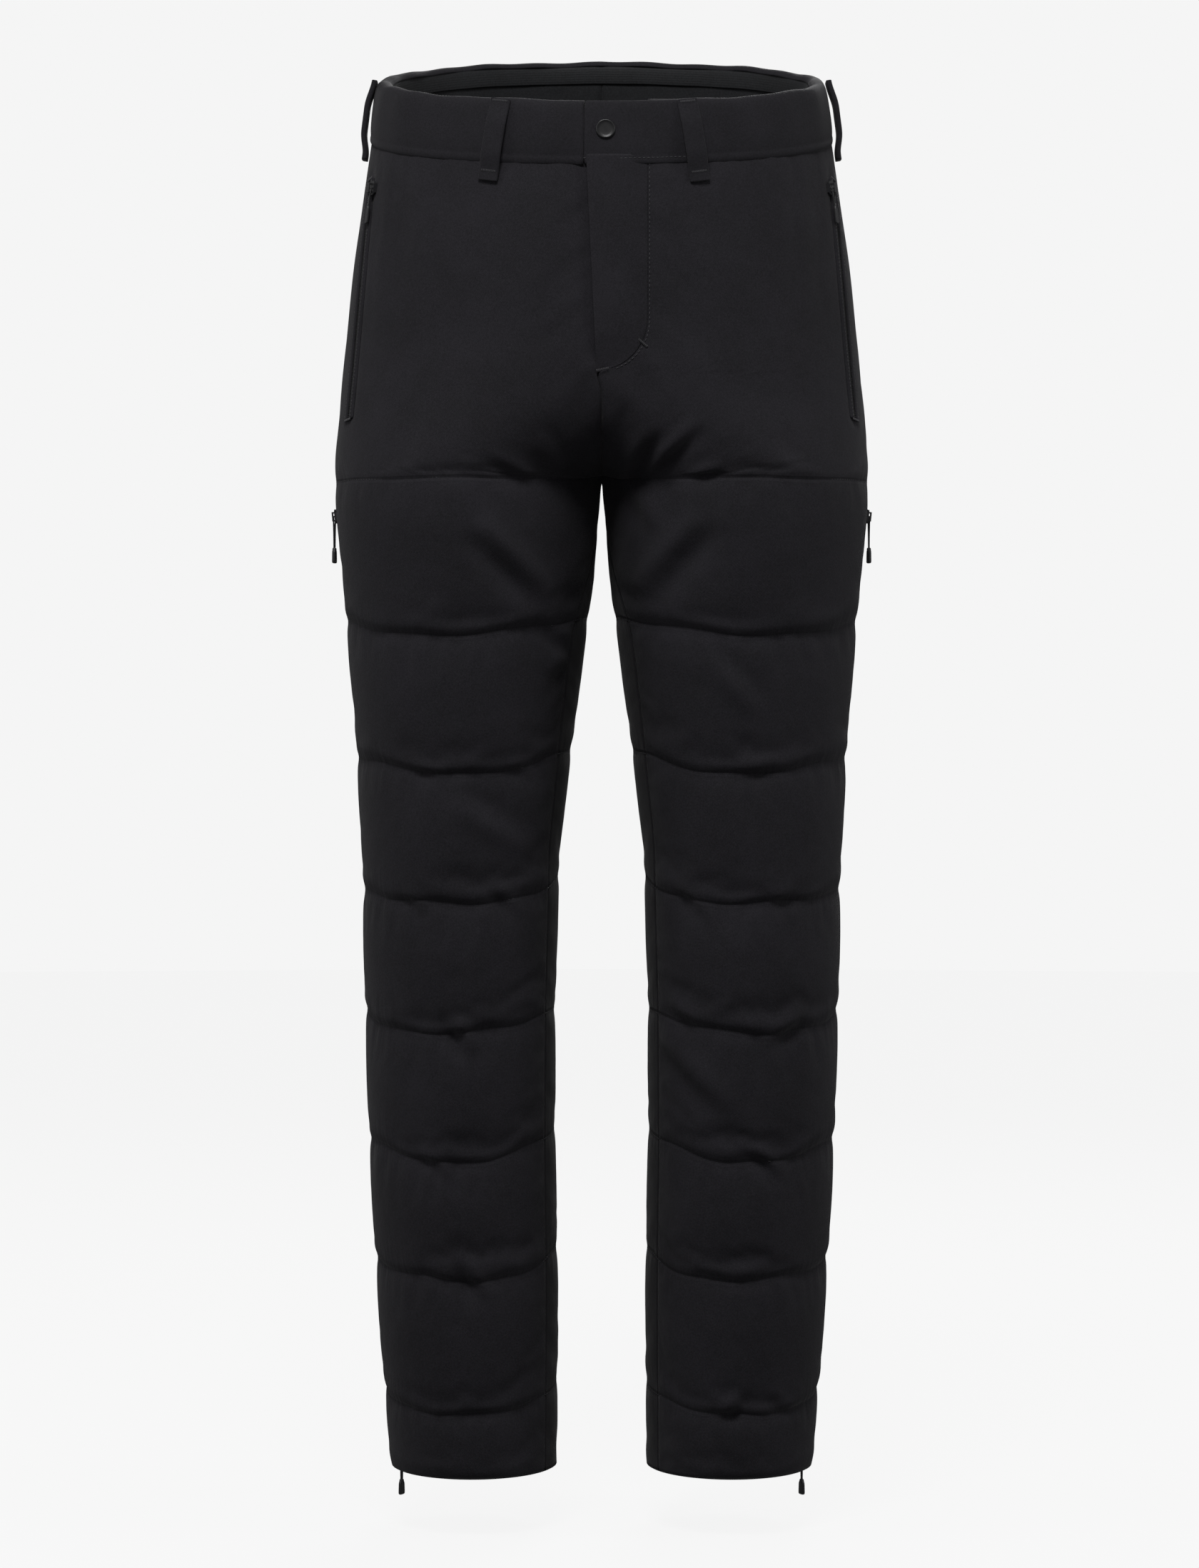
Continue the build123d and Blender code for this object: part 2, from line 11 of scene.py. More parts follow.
import bmesh
import bpy
import numpy as np
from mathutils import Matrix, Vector


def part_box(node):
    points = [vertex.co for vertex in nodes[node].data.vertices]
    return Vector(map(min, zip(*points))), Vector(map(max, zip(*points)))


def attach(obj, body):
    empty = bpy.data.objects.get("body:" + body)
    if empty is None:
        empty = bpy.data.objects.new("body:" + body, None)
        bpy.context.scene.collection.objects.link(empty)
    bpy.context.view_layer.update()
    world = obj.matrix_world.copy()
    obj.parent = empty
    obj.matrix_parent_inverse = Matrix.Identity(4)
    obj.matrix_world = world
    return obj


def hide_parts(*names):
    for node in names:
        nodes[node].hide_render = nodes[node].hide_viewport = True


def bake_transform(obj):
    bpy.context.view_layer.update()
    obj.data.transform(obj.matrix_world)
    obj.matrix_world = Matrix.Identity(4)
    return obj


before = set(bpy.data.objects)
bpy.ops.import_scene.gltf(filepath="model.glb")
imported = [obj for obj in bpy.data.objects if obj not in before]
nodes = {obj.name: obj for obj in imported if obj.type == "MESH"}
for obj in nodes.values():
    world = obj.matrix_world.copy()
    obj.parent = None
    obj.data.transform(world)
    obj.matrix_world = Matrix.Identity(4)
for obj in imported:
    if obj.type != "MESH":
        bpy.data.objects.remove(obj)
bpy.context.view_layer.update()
MM = 0.001
SIDES = (("left", 1), ("right", -1))

# %% [markdown]
# ## The body of the trousers as a surface
# Trousers are tubes, so one side's shape is a stack of ellipses: the height, the inner and outer x, and
# the front and back y. Above the crotch the inner x runs past the middle plane, where the two sides
# meet in the rise. The numbers between two levels are read from a smoothed table, so that no level shows
# as a ring.

# %% Cross-sections
LEVELS_MM = [
    (60, -164, 164, -108, 116.5),
    (40, -167, 167, -110, 117.5),
    (-62, -180, 180, -116.5, 123),
    (-150, -194, 194, -121.5, 131.5),
    (-215, -199, 200, -121.5, 132.5),
    (-258, -140, 204, -119.5, 130.5),
    (-292, -52, 207, -116.5, 126),
    (-313, 0.5, 207.5, -112.5, 118),
    (-390, 6.5, 200.5, -104.5, 107),
    (-500, 21, 191, -93, 94.5),
    (-600, 33, 185, -87, 85.5),
    (-720, 36.5, 182.5, -82.5, 81),
    (-830, 36.5, 179.5, -77.5, 82),
    (-940, 34.5, 173.5, -72, 81),
    (-1081, 35, 163.5, -66, 80),
    (-1100, 35, 162.5, -65, 80),
]
WAIST_SLOPE = 0.3026
BAND_TOP_Z = -6.2 * MM
BAND_END_Z = -51.1 * MM
HEM_Z = -1081 * MM
QUILT_Z = [-319, -431, -535, -635, -733, -830, -922, -1025]

table = np.array(LEVELS_MM, float)[::-1] * MM
table_z = np.arange(-1100, 61) * MM
table_rows = np.stack([np.interp(table_z, table[:, 0], table[:, k]) for k in range(1, 5)], 1)


def smoothed(rows, reach):
    """Each column averaged over a bell of that many millimetres."""
    steps = np.arange(-3 * reach, 3 * reach + 1)
    bell = np.exp(-0.5 * (steps / reach) ** 2)
    bell /= bell.sum()
    padded = np.pad(rows, ((3 * reach, 3 * reach), (0, 0)), mode="reflect", reflect_type="odd")
    return np.stack([np.convolve(padded[:, k], bell, "valid") for k in range(rows.shape[1])], 1)


inner_column = smoothed(table_rows, 5)[:, :1]
table_rows = smoothed(table_rows, 16)
table_rows[:, :1] = inner_column


def section(z):
    """Centre x, centre y and the two half-sizes of one side's ellipse at heights z."""
    x0, x1, y0, y1 = (np.interp(z, table_z, table_rows[:, k]) for k in range(4))
    return (x0 + x1) / 2, (y0 + y1) / 2, (x1 - x0) / 2, (y1 - y0) / 2


def skin(turn, z, depth=0.0):
    """The point at that turn of one side's ellipse. Turn 0 is outermost, -90 degrees the front."""
    cx, cy, a, b = section(z)
    x, y = cx + (a - depth) * np.cos(turn), cy + (b - depth) * np.sin(turn)
    return np.stack(np.broadcast_arrays(x, y, z), -1)


def middle_turn(z):
    """The turn at which the ellipse meets the middle plane, or half a turn below the crotch."""
    cx, _, a, _ = section(z)
    return np.arccos(np.clip(-cx / a, -1, 1))


CROTCH_Z = float(table_z[np.nonzero(middle_turn(table_z) > math.pi - 1e-6)[0].max()])
print("the crotch is at z =", round(CROTCH_Z, 4))


def smoothstep(t):
    t = np.clip(t, 0, 1)
    return t * t * (3 - 2 * t)


def turn_at_y(y, z, outer=True):
    """The turn where the outer (or inner) half of the ellipse is at that y."""
    _, cy, _, b = section(z)
    turn = np.arcsin(np.clip((y - cy) / b, -1, 1))
    return turn if outer else np.where(turn > 0, math.pi - turn, -math.pi - turn)


# %% [markdown]
# ## Where the seams run
# Each side is cut from three panels. The front and the back meet at the side seam, which opens into a
# long zip from the thigh to the hem, and a stretch panel closes the inner leg, narrowing to nothing at
# the crotch. The panels are gridded so that every seam and every line of quilting is exactly a row or a
# column. That keeps the seams crisp, which a remeshed surface would not.

# %% Seams
SIDE_LINE = [(12, 60), (18, -335), (26, -600), (36.5, -830), (48, -1100)]  # y over z, millimetres
ZIP_TOP_Z = -335 * MM
ZIP_EDGE = 5.2 * MM
INNER_TAPER = 0.13
INNER_FRONT = [(-50, -333), (-37, -640), (-30, -1081)]
INNER_BACK = [(66, -333), (48, -640), (46, -1081)]


def along(line, z):
    ys, zs = np.array(line, float).T * MM
    return np.interp(z, zs[::-1], ys[::-1])


def side_turn(z, edge=0.0):
    """The side seam, or the edge of the zip's slot below it, on the front (-) or the back (+) side."""
    open_share = smoothstep((ZIP_TOP_Z - z) / 0.012)
    _, _, _, b = section(z)
    return turn_at_y(along(SIDE_LINE, z), z) + edge * (0.03 + 0.97 * open_share) / b


def inner_turn(z, front):
    """The inner leg's seam. It starts on the middle line and spreads out below the crotch."""
    full = turn_at_y(along(INNER_FRONT if front else INNER_BACK, z), z, outer=False)
    centre = -middle_turn(z) if front else middle_turn(z)
    return centre + (full - centre) * smoothstep((CROTCH_Z - 0.002 - z) / INNER_TAPER)


def waist_seam_z(y, lift):
    """The height of the waist seam at that y, or of a line that far above it."""
    return WAIST_SLOPE * y + BAND_END_Z + lift


def quilt_z(index, turn):
    """A line of quilting: it hangs lower at the front of the leg and is hitched up at the inner side."""
    front = np.clip(-np.sin(turn), 0, 1) ** 1.4
    back = np.clip(np.sin(turn), 0, 1) ** 1.4
    inner = np.clip(-np.cos(turn), 0, 1) ** 2
    sway = 1.6 * np.sin(3.1 * turn + 1.9 * index) + 1.1 * np.sin(7.3 * turn + 3.7 * index)
    share = 0.45 if index == 0 else 1.0
    return (QUILT_Z[index] + share * (5 - 13 * front - 7 * back + 5 * inner + sway)) * MM


# %% [markdown]
# ## Panel grids
# A column of the grid starts at the waist seam and runs down to the hem. Between two seams its points
# are spaced evenly along the cloth, not by height, because near the crotch the cloth runs almost level.

# %% Grid builder
HIP_ROWS = 50
CHANNEL_ROWS = 18
HEM_ROWS = 10
UNDER_BAND = 6 * MM  # how far the cloth runs up behind the waistband


def panel_grid(left_turn, right_turn, columns, sign, top=None):
    """Points of a panel, rows by columns, with the index of each line of quilting among its rows.
    It starts at the waist seam, or at the height that is given, below the first line of quilting."""
    dense_z = np.linspace(0.055, HEM_Z, 900)
    shares = np.linspace(0, 1, columns)
    steps = [HIP_ROWS] * (not top) + [CHANNEL_ROWS] * 7 + [HEM_ROWS]
    out, uv = [], []
    for share in shares:
        turn = left_turn(dense_z) * (1 - share) + right_turn(dense_z) * share
        points = skin(turn, dense_z)
        length = np.concatenate([[0], np.cumsum(np.linalg.norm(np.diff(points, axis=0), axis=1))])
        at = lambda z: np.interp(-z, -dense_z, length)
        turn_at = lambda z: float(np.interp(-z, -dense_z, turn))
        z_top, first = (top, 1) if top else (0.0, 0)
        if not top:
            for _ in range(12):
                z_top = waist_seam_z(float(skin(turn_at(z_top), np.array(z_top))[1]), UNDER_BAND)
        quilting = [float(quilt_z(k, turn_at(QUILT_Z[k] * MM))) for k in range(first, 8)]
        marks = at(np.array([z_top, *quilting, HEM_Z]))
        lengths = [np.linspace(a, b, n, endpoint=False) for a, b, n in zip(marks, marks[1:], steps)]
        lengths = np.concatenate(lengths + [[marks[-1]]])
        z = -np.interp(lengths, length, -dense_z)
        out.append(skin(np.interp(-z, -dense_z, turn), z))
        uv.append(np.stack([np.full_like(lengths, share), -lengths], 1))
    grid = np.stack(out, 1)
    grid[..., 0] *= sign
    coords = np.stack(uv, 1)
    girth = np.linalg.norm(np.diff(grid, axis=1), axis=2).sum(1)
    coords[..., 0] *= np.median(girth)
    return {"points": grid, "uv": coords, "quilting": list(np.cumsum(steps)[:-1]), "sign": sign}


FLY_FOOT_X, FLY_FOOT_Z = -0.0040, -0.2425
J_BEND_Z = -0.204
J_WIDTH = 0.0381
FOOT_CLOSES = 0.02  # below the foot, where the two fronts come together


def fly_edge_x(z):
    """The fly flap's free edge."""
    return np.interp(z, [FLY_FOOT_Z, -0.08, 0.0], [FLY_FOOT_X, -0.0118, -0.0136])


def fly_stitch_x(z):
    """The J: straight down, then a quarter turn in to the fly's foot."""
    bend = np.clip((J_BEND_Z - z) / (J_BEND_Z - FLY_FOOT_Z), 0, 1)
    return FLY_FOOT_X + J_WIDTH * np.sqrt(np.clip(1 - bend**2, 0, 1))


def front_turn_at_x(x, z):
    cx, _, a, _ = section(z)
    return -np.arccos(np.clip((x - cx) / a, -1, 1))


def centre_edge(z, sign):
    """The left front starts at the J, the right front under the flap's edge, and below both meet."""
    edge = fly_stitch_x(z) if sign > 0 else -fly_edge_x(z) - 2.5 * MM
    foot = smoothstep((FLY_FOOT_Z - z) / FOOT_CLOSES)
    at_fly = front_turn_at_x(edge, z)
    closing = front_turn_at_x(FLY_FOOT_X * sign * (1 - foot), z)
    below = np.where(z > FLY_FOOT_Z - FOOT_CLOSES, closing, inner_turn(z, True))
    return np.where(z > FLY_FOOT_Z, at_fly, below)


def front_side(z):
    return side_turn(z, -ZIP_EDGE)


def back_side(z):
    return side_turn(z, ZIP_EDGE)


def inner_front(z):
    return inner_turn(z, True)


def inner_back(z):
    return inner_turn(z, False)


def inner_back_under(z):
    """The same seam reached the other way round, so that the inner panel's turns only rise."""
    return inner_back(z) - 2 * math.pi


panels = {}
for side, sign in SIDES:
    panels[f"front_panel_{side}"] = panel_grid(lambda z: centre_edge(z, sign), front_side, 54, sign)
    panels[f"back_panel_{side}"] = panel_grid(back_side, inner_back, 54, sign)
    panels[f"inner_leg_panel_{side}"] = panel_grid(inner_back_under, inner_front, 15, sign, CROTCH_Z - 0.006)
print({name: p["points"].shape[:2] for name, p in panels.items()})

# %% [markdown]
# ## Slack and gravity
# Quilted cloth is a little longer than the padding it covers, and the seams hold it short. A cloth
# simulation with every seam pinned and some slack in between gives the soft bulge of each channel, the
# sag over the seam below it, and the first creases beside the stitching. The hips, the legs and the
# stretch panels are three meshes, each with its own slack, and the results go back into the grids.

# %% Cloth simulation
FARTHEST = 15 * MM  # a point's move levels off towards this


def grid_faces(rows, columns, sign, offset=0):
    index = np.arange(rows * columns).reshape(rows, columns) + offset
    quads = np.stack([index[:-1, :-1], index[1:, :-1], index[1:, 1:], index[:-1, 1:]], -1).reshape(-1, 4)
    return quads if sign > 0 else quads[:, ::-1]


def placed(name, data):
    """An object with that data, linked to the scene."""
    made = bpy.data.objects.new(name, data)
    bpy.context.scene.collection.objects.link(made)
    return made


def evaluated_mesh(piece):
    """The mesh that an object's modifiers or curve give. The object itself is removed."""
    mesh = bpy.data.meshes.new_from_object(piece.evaluated_get(bpy.context.evaluated_depsgraph_get()))
    bpy.data.objects.remove(piece)
    return mesh


def mesh_object(name, points, faces, uv=None):
    mesh = bpy.data.meshes.new(name)
    mesh.from_pydata(np.asarray(points).reshape(-1, 3).tolist(), [], [list(map(int, f)) for f in faces])
    if uv is not None:
        layer = mesh.uv_layers.new(name="UVMap")
        loops = np.zeros(len(mesh.loops), int)
        mesh.loops.foreach_get("vertex_index", loops)
        layer.data.foreach_set("uv", np.asarray(uv).reshape(-1, 2)[loops].ravel())
    mesh.polygons.foreach_set("use_smooth", [True] * len(mesh.polygons))
    mesh.update()
    return placed(name, mesh)


def run_cloth(piece, slack, pressure, gravity, bending, frames):
    """Runs the cloth in place and returns where its points end up."""
    cloth = piece.modifiers.new("Cloth", "CLOTH")
    settings = cloth.settings
    settings.quality = 4
    settings.mass = 0.3
    settings.air_damping = 1
    settings.tension_stiffness = settings.compression_stiffness = 18
    settings.shear_stiffness = 6
    settings.bending_stiffness = bending
    settings.tension_damping = settings.compression_damping = settings.shear_damping = 2
    settings.vertex_group_mass = "pins"
    settings.pin_stiffness = 1
    settings.shrink_min = -slack
    settings.use_pressure = True
    settings.uniform_pressure_force = pressure
    settings.effector_weights.gravity = gravity
    cloth.collision_settings.use_collision = False
    cloth.point_cache.frame_end = frames + 2
    for f in range(1, frames + 1):
        bpy.context.scene.frame_set(f)
    settled = evaluated_mesh(piece)
    result = np.zeros(len(settled.vertices) * 3)
    settled.vertices.foreach_get("co", result)
    bpy.data.meshes.remove(settled)
    bpy.context.scene.frame_set(1)
    return result.reshape(-1, 3)


def grid_normals(points, sign):
    normals = np.cross(np.gradient(points, axis=0), np.gradient(points, axis=1)) * sign
    return normals / np.maximum(np.linalg.norm(normals, axis=2, keepdims=True), 1e-9)


def rise(rows, columns, lines, hem_share):
    """0 on every seam and 1 in the middle of each channel: the shape the cloth starts from."""
    down = np.zeros(rows)
    for a, b in zip(lines, lines[1:]):
        share = hem_share if b == lines[-1] else 1.0
        down[a : b + 1] = np.sin(np.pi * np.linspace(0, 1, b - a + 1)) ** 0.6 * share
    across = np.linspace(0, 1, columns)
    edge = np.clip(np.minimum(across, 1 - across) * columns / 5, 0, 1) ** 0.7
    return down[:, None] * edge


def simulate(jobs, puff, seed, **settings):
    """Simulates a stretch of rows of several panels together. A job is (panel, first row, last row)."""
    rng = np.random.default_rng(seed)
    starts, bases, faces, pins, count = [], [], [], [], 0
    for panel, first, last in jobs:
        base = panel["points"][first : last + 1]
        rows, columns = base.shape[:2]
        lines = [q - first for q in [0, *panel["quilting"], len(panel["points"]) - 1] if first <= q <= last]
        height = rise(rows, columns, lines, 0.3 if last == len(panel["points"]) - 1 else 1.0)
        start = base + grid_normals(base, panel["sign"]) * (height * puff)[..., None]
        start += rng.normal(0, 0.3 * MM, base.shape) * (height > 0.02)[..., None]
        pin = np.zeros((rows, columns), bool)
        pin[lines] = pin[:, [0, -1]] = True
        starts.append(start.reshape(-1, 3))
        bases.append(base.reshape(-1, 3))
        faces.append(grid_faces(rows, columns, panel["sign"], count))
        pins.append(pin.ravel())
        count += rows * columns
    piece = mesh_object("cloth_at_work", np.concatenate(starts), np.concatenate(faces))
    group = piece.vertex_groups.new(name="pins")
    group.add(np.nonzero(np.concatenate(pins))[0].tolist(), 1.0, "REPLACE")
    move = run_cloth(piece, **settings) - np.concatenate(bases)
    size = np.linalg.norm(move, axis=1)
    move *= (FARTHEST * np.tanh(size / FARTHEST) / np.maximum(size, 1e-9))[:, None]
    print("cloth stands off by", np.round(np.percentile(size, [50, 90, 100]) / MM, 1), "mm")
    at = 0
    for panel, first, last in jobs:
        shape = panel["points"][first : last + 1].shape
        n = shape[0] * shape[1]
        panel["move"][first : last + 1] = move[at : at + n].reshape(shape)
        at += n


for panel in panels.values():
    panel["move"] = np.zeros_like(panel["points"])
outer_panels = [p for name, p in panels.items() if not name.startswith("inner")]
inner_panels = [p for name, p in panels.items() if name.startswith("inner")]
hips = [(p, 0, p["quilting"][0]) for p in outer_panels]
legs = [(p, p["quilting"][0], len(p["points"]) - 1) for p in outer_panels]
inner_legs = [(p, 0, len(p["points"]) - 1) for p in inner_panels]
simulate(hips, 1 * MM, 5, slack=0.010, pressure=15, gravity=0.8, bending=4, frames=14)
simulate(legs, 4 * MM, 7, slack=0.045, pressure=40, gravity=1.0, bending=1, frames=16)
simulate(inner_legs, 1 * MM, 9, slack=0.02, pressure=20, gravity=1.0, bending=1, frames=14)

# %% [markdown]
# ## Seams, gathers and folds
# Stitching pulls the cloth down into a narrow groove and gathers it on both sides. The simulation's grid
# is too coarse for that, so it is added as small moves along the cloth's own normal, where the distance
# to the nearest seam is known exactly. Single folds, where the legs hang from the crotch, bend at the
# knee and are nicked by the seams, are laid one by one.

# %% Grooves and gathers
FOLDS = [  # start and end (x, z), half width, height in millimetres, on the front of the trousers
    ((-98, -356), (-44, -412), 8, 8.5),
    ((-50, -428), (-22, -446), 6, 4.0),
    ((-44, -470), (-20, -452), 7, 4.0),
    ((-84, -304), (-50, -324), 6, 3.0),
    ((14, -326), (40, -284), 6, 5.0),
    ((36, -318), (74, -280), 5, 5.0),
    ((66, -322), (90, -312), 5, 3.4),
    ((25, -322), (40, -362), 6, 5.0),
    ((31, -410), (80, -352), 9, 8.5),
    ((-142, -536), (-120, -546), 5, 3.2),
    ((-72, -536), (-52, -546), 5, 3.2),
    ((108, -546), (132, -532), 5, 3.4),
    ((58, -632), (82, -652), 5, 4.0),
    ((124, -646), (148, -628), 5, 3.4),
    ((-150, -632), (-134, -650), 5, 3.6),
    ((-84, -626), (-62, -654), 5, 4.0),
    ((-118, -726), (-98, -756), 6, 5.0),
    ((52, -716), (74, -738), 5, 4.0),
    ((124, -752), (152, -726), 6, 4.4),
    ((-138, -828), (-116, -850), 5, 3.8),
    ((110, -824), (136, -850), 5, 4.2),
    ((-106, -912), (-90, -944), 6, 4.6),
    ((90, -1036), (114, -1008), 5, 3.8),
    ((124, -1012), (148, -1034), 5, 3.4),
    ((-18, -322), (-48, -286), 7, 1.6),
    ((6, -292), (14, -262), 5, 2.4),
    ((40, -742), (96, -800), 9, 6.0),
    ((-56, -596), (-112, -560), 9, 3.6),
    ((120, -494), (84, -452), 8, 3.0),
]


def seam_gap(panel):
    """Each point's distance down the cloth to the nearest line of quilting."""
    step = np.linalg.norm(np.diff(panel["points"], axis=0), axis=2)
    down = np.concatenate([np.zeros((1, step.shape[1])), np.cumsum(step, 0)])
    gaps = np.abs(down[:, None] - down[panel["quilting"]][None])
    return gaps.min(1), gaps.argmin(1)


def gathers(panel, gap, nearest, rng):
    lines, columns = len(panel["quilting"]), panel["points"].shape[1]
    pull = rng.normal(0, 1, (lines, 2, columns))
    pull = (np.roll(pull, 1, 2) + 2 * pull + np.roll(pull, -1, 2)) / 4
    side = (np.arange(len(gap))[:, None] > np.array(panel["quilting"])[nearest]).astype(int)
    return pull[nearest, side, np.arange(columns)[None]] * np.exp(-gap / (16 * MM)) * (gap > 1 * MM)


def fold_moves(points):
    move = np.zeros(points.shape[:2])
    for start, end, width, height in FOLDS:
        a, b = np.array(start) * MM, np.array(end) * MM
        length = np.linalg.norm(b - a)
        along_it = (b - a) / length
        to = points[..., [0, 2]] - a
        s = (to @ along_it) / length
        t = (to @ np.array([-along_it[1], along_it[0]])) / (width * MM) + 0.5 * (s - 0.5) ** 2
        shape = np.exp(-((t - 0.5) ** 2)) - 0.9 * np.exp(-((t + 0.7) ** 2))
        move += height * MM * shape * np.sin(np.pi * np.clip(s, 0, 1)) ** 0.7 * (points[..., 1] < 0.01)
    return move


# %% [markdown]
# ## Where the zips cut in
# A zip sits a little below the cloth, between two folded edges. The panel keeps its grid and is pressed
# in along the zip's line, and the folded edges are made later as strips of their own.

# %% Pocket line
POCKET_X, POCKET_DOWN = [178 * MM, 194.5 * MM], [85 * MM, 272 * MM]  # at its top and its foot
pocket_z = np.linspace(-85, -272, 90) * MM
pocket_x = np.interp(-pocket_z, POCKET_DOWN, POCKET_X)
pocket_path = skin(front_turn_at_x(pocket_x, pocket_z), pocket_z)
GROOVE_DEPTH, GROOVE_WIDTH = 1.9 * MM, 4.5 * MM
POCKET_SUNK = 3.0 * MM
INWARD_MOST = 1.5 * MM  # the simulation may not push cloth further in, where bags and lining lie
UNDER_FLAP = 1.9 * MM
rng = np.random.default_rng(21)
for name, panel in panels.items():
    gap, nearest = seam_gap(panel)
    base, move = panel["points"], panel["move"]
    out = grid_normals(base, panel["sign"])
    first = (nearest == 0) & (not name.startswith("inner"))
    lift = np.where(first, 0.35, 1.0) * (-GROOVE_DEPTH * np.exp(-((gap / GROOVE_WIDTH) ** 2)))
    lift = lift + gathers(panel, gap, nearest, rng) * np.where(first, 0.3, 0.9) * MM
    if name.startswith("front"):
        lift = lift + fold_moves(base)
        local = base * np.array([panel["sign"], 1, 1])
        off = np.linalg.norm(local[:, :, None] - pocket_path[None, None, ::3], axis=3).min(2)
        free = smoothstep((off - 8 * MM) / (18 * MM))
        move = move * free[..., None]
        lift = lift * free - POCKET_SUNK * (1 - smoothstep((off - 3.5 * MM) / (5.5 * MM)))
    across = np.linspace(0, 1, base.shape[1])
    edge = np.clip(np.minimum(across, 1 - across) * base.shape[1] / 2.5, 0, 1)
    facing_side = np.abs(out[..., 0]) ** 2
    share = 0.80 - 0.52 * facing_side
    swell = (move * out).sum(-1)
    swell = np.where(swell < 0, INWARD_MOST * np.tanh(swell / INWARD_MOST), swell) - swell
    move = (move + out * swell[..., None]) * share[..., None]
    lift = lift * (1 - 0.6 * facing_side)
    panel["final"] = base + move + out * (lift * edge)[..., None]
    if name == "front_panel_right":
        above_foot = smoothstep((base[..., 2] - FLY_FOOT_Z) / 0.01)
        under = np.exp(-((np.arange(base.shape[1]) / 1.3) ** 2))[None] * above_foot
        panel["final"] -= out * (UNDER_FLAP * under)[..., None]
    panel["out"], panel["gap"] = out, gap
farthest = max(float(np.linalg.norm(p["final"] - p["points"], axis=2).max()) for p in panels.values())
print("panels shaped; the farthest move is", round(farthest / MM, 1), "mm")

# %% [markdown]
# ## Cloth materials
# Black technical cloth is never one flat black. It has a fine weave that breaks up highlights, a soft
# sheen where fibres catch light at a glancing angle, small crinkles, and slightly greyer patches. Each
# fabric is the same recipe with its own thread size: crossing waves for the weave, a medium crinkle and
# a slow mottling of colour, all on the piece's own coordinates in metres. Gathered cloth also pleats
# towards a seam, by each point's distance to it.

# %% Fabric recipe
WAVE = 0.314  # the wave texture's scale for one wave a metre


def add(tree, kind, **sockets):
    node = tree.nodes.new(kind)
    for key, value in sockets.items():
        node.inputs[key.replace("_", " ")].default_value = value
    return node


def math_node(tree, operation, a, b):
    node = tree.nodes.new("ShaderNodeMath")
    node.operation = operation
    for socket, value in zip(node.inputs, (a, b)):
        if isinstance(value, (int, float)):
            socket.default_value = value
        else:
            tree.links.new(value, socket)
    return node.outputs[0]


def start_material(name, roughness, metallic=0.0, sheen=0.0, coat=0.0, specular=0.5):
    made = bpy.data.materials.new(name)
    made.use_nodes = True
    tree = made.node_tree
    shader = tree.nodes["Principled BSDF"]
    shader.inputs["Roughness"].default_value = roughness
    shader.inputs["Metallic"].default_value = metallic
    shader.inputs["Sheen Weight"].default_value = sheen
    shader.inputs["Sheen Roughness"].default_value = 0.45
    shader.inputs["Coat Weight"].default_value = coat
    shader.inputs["Specular IOR Level"].default_value = specular
    return made, tree, shader


def bumped(tree, shader, height, strength, depth):
    bump = add(tree, "ShaderNodeBump", Strength=strength, Distance=depth)
    tree.links.new(height, bump.inputs["Height"])
    tree.links.new(bump.outputs["Normal"], shader.inputs["Normal"])


def uneven_gloss(tree, shader, noise, roughness, spread):
    rough = add(tree, "ShaderNodeMapRange", To_Min=roughness - spread, To_Max=roughness + spread)
    tree.links.new(noise.outputs["Fac"], rough.inputs["Value"])
    tree.links.new(rough.outputs[0], shader.inputs["Roughness"])


def moved(tree, where, **sockets):
    """Coordinates turned or scaled by a mapping."""
    mapping = add(tree, "ShaderNodeMapping", **sockets)
    tree.links.new(where, mapping.inputs["Vector"])
    return mapping.outputs["Vector"]


def mottled(tree, shader, where, colour, size, spread):
    """Two shades of the colour, mixed by slow noise of that size in metres."""
    noise = add(tree, "ShaderNodeTexNoise", Scale=1 / size, Detail=3.0, Roughness=0.6)
    tree.links.new(where, noise.inputs["Vector"])
    ramp = tree.nodes.new("ShaderNodeValToRGB")
    ramp.color_ramp.elements[0].position, ramp.color_ramp.elements[1].position = 0.36, 0.64
    ramp.color_ramp.elements[0].color = (*[c * (1 - spread) for c in colour], 1)
    ramp.color_ramp.elements[1].color = (*[c * (1 + spread) for c in colour], 1)
    grain = add(tree, "ShaderNodeTexNoise", Scale=42 / size, Detail=2.0)
    tree.links.new(where, grain.inputs["Vector"])
    both = math_node(tree, "ADD", math_node(tree, "MULTIPLY", noise.outputs["Fac"], 0.4),
                     math_node(tree, "MULTIPLY", grain.outputs["Fac"], 0.6))
    tree.links.new(both, ramp.inputs["Fac"])
    tree.links.new(ramp.outputs["Color"], shader.inputs["Base Color"])
    return noise


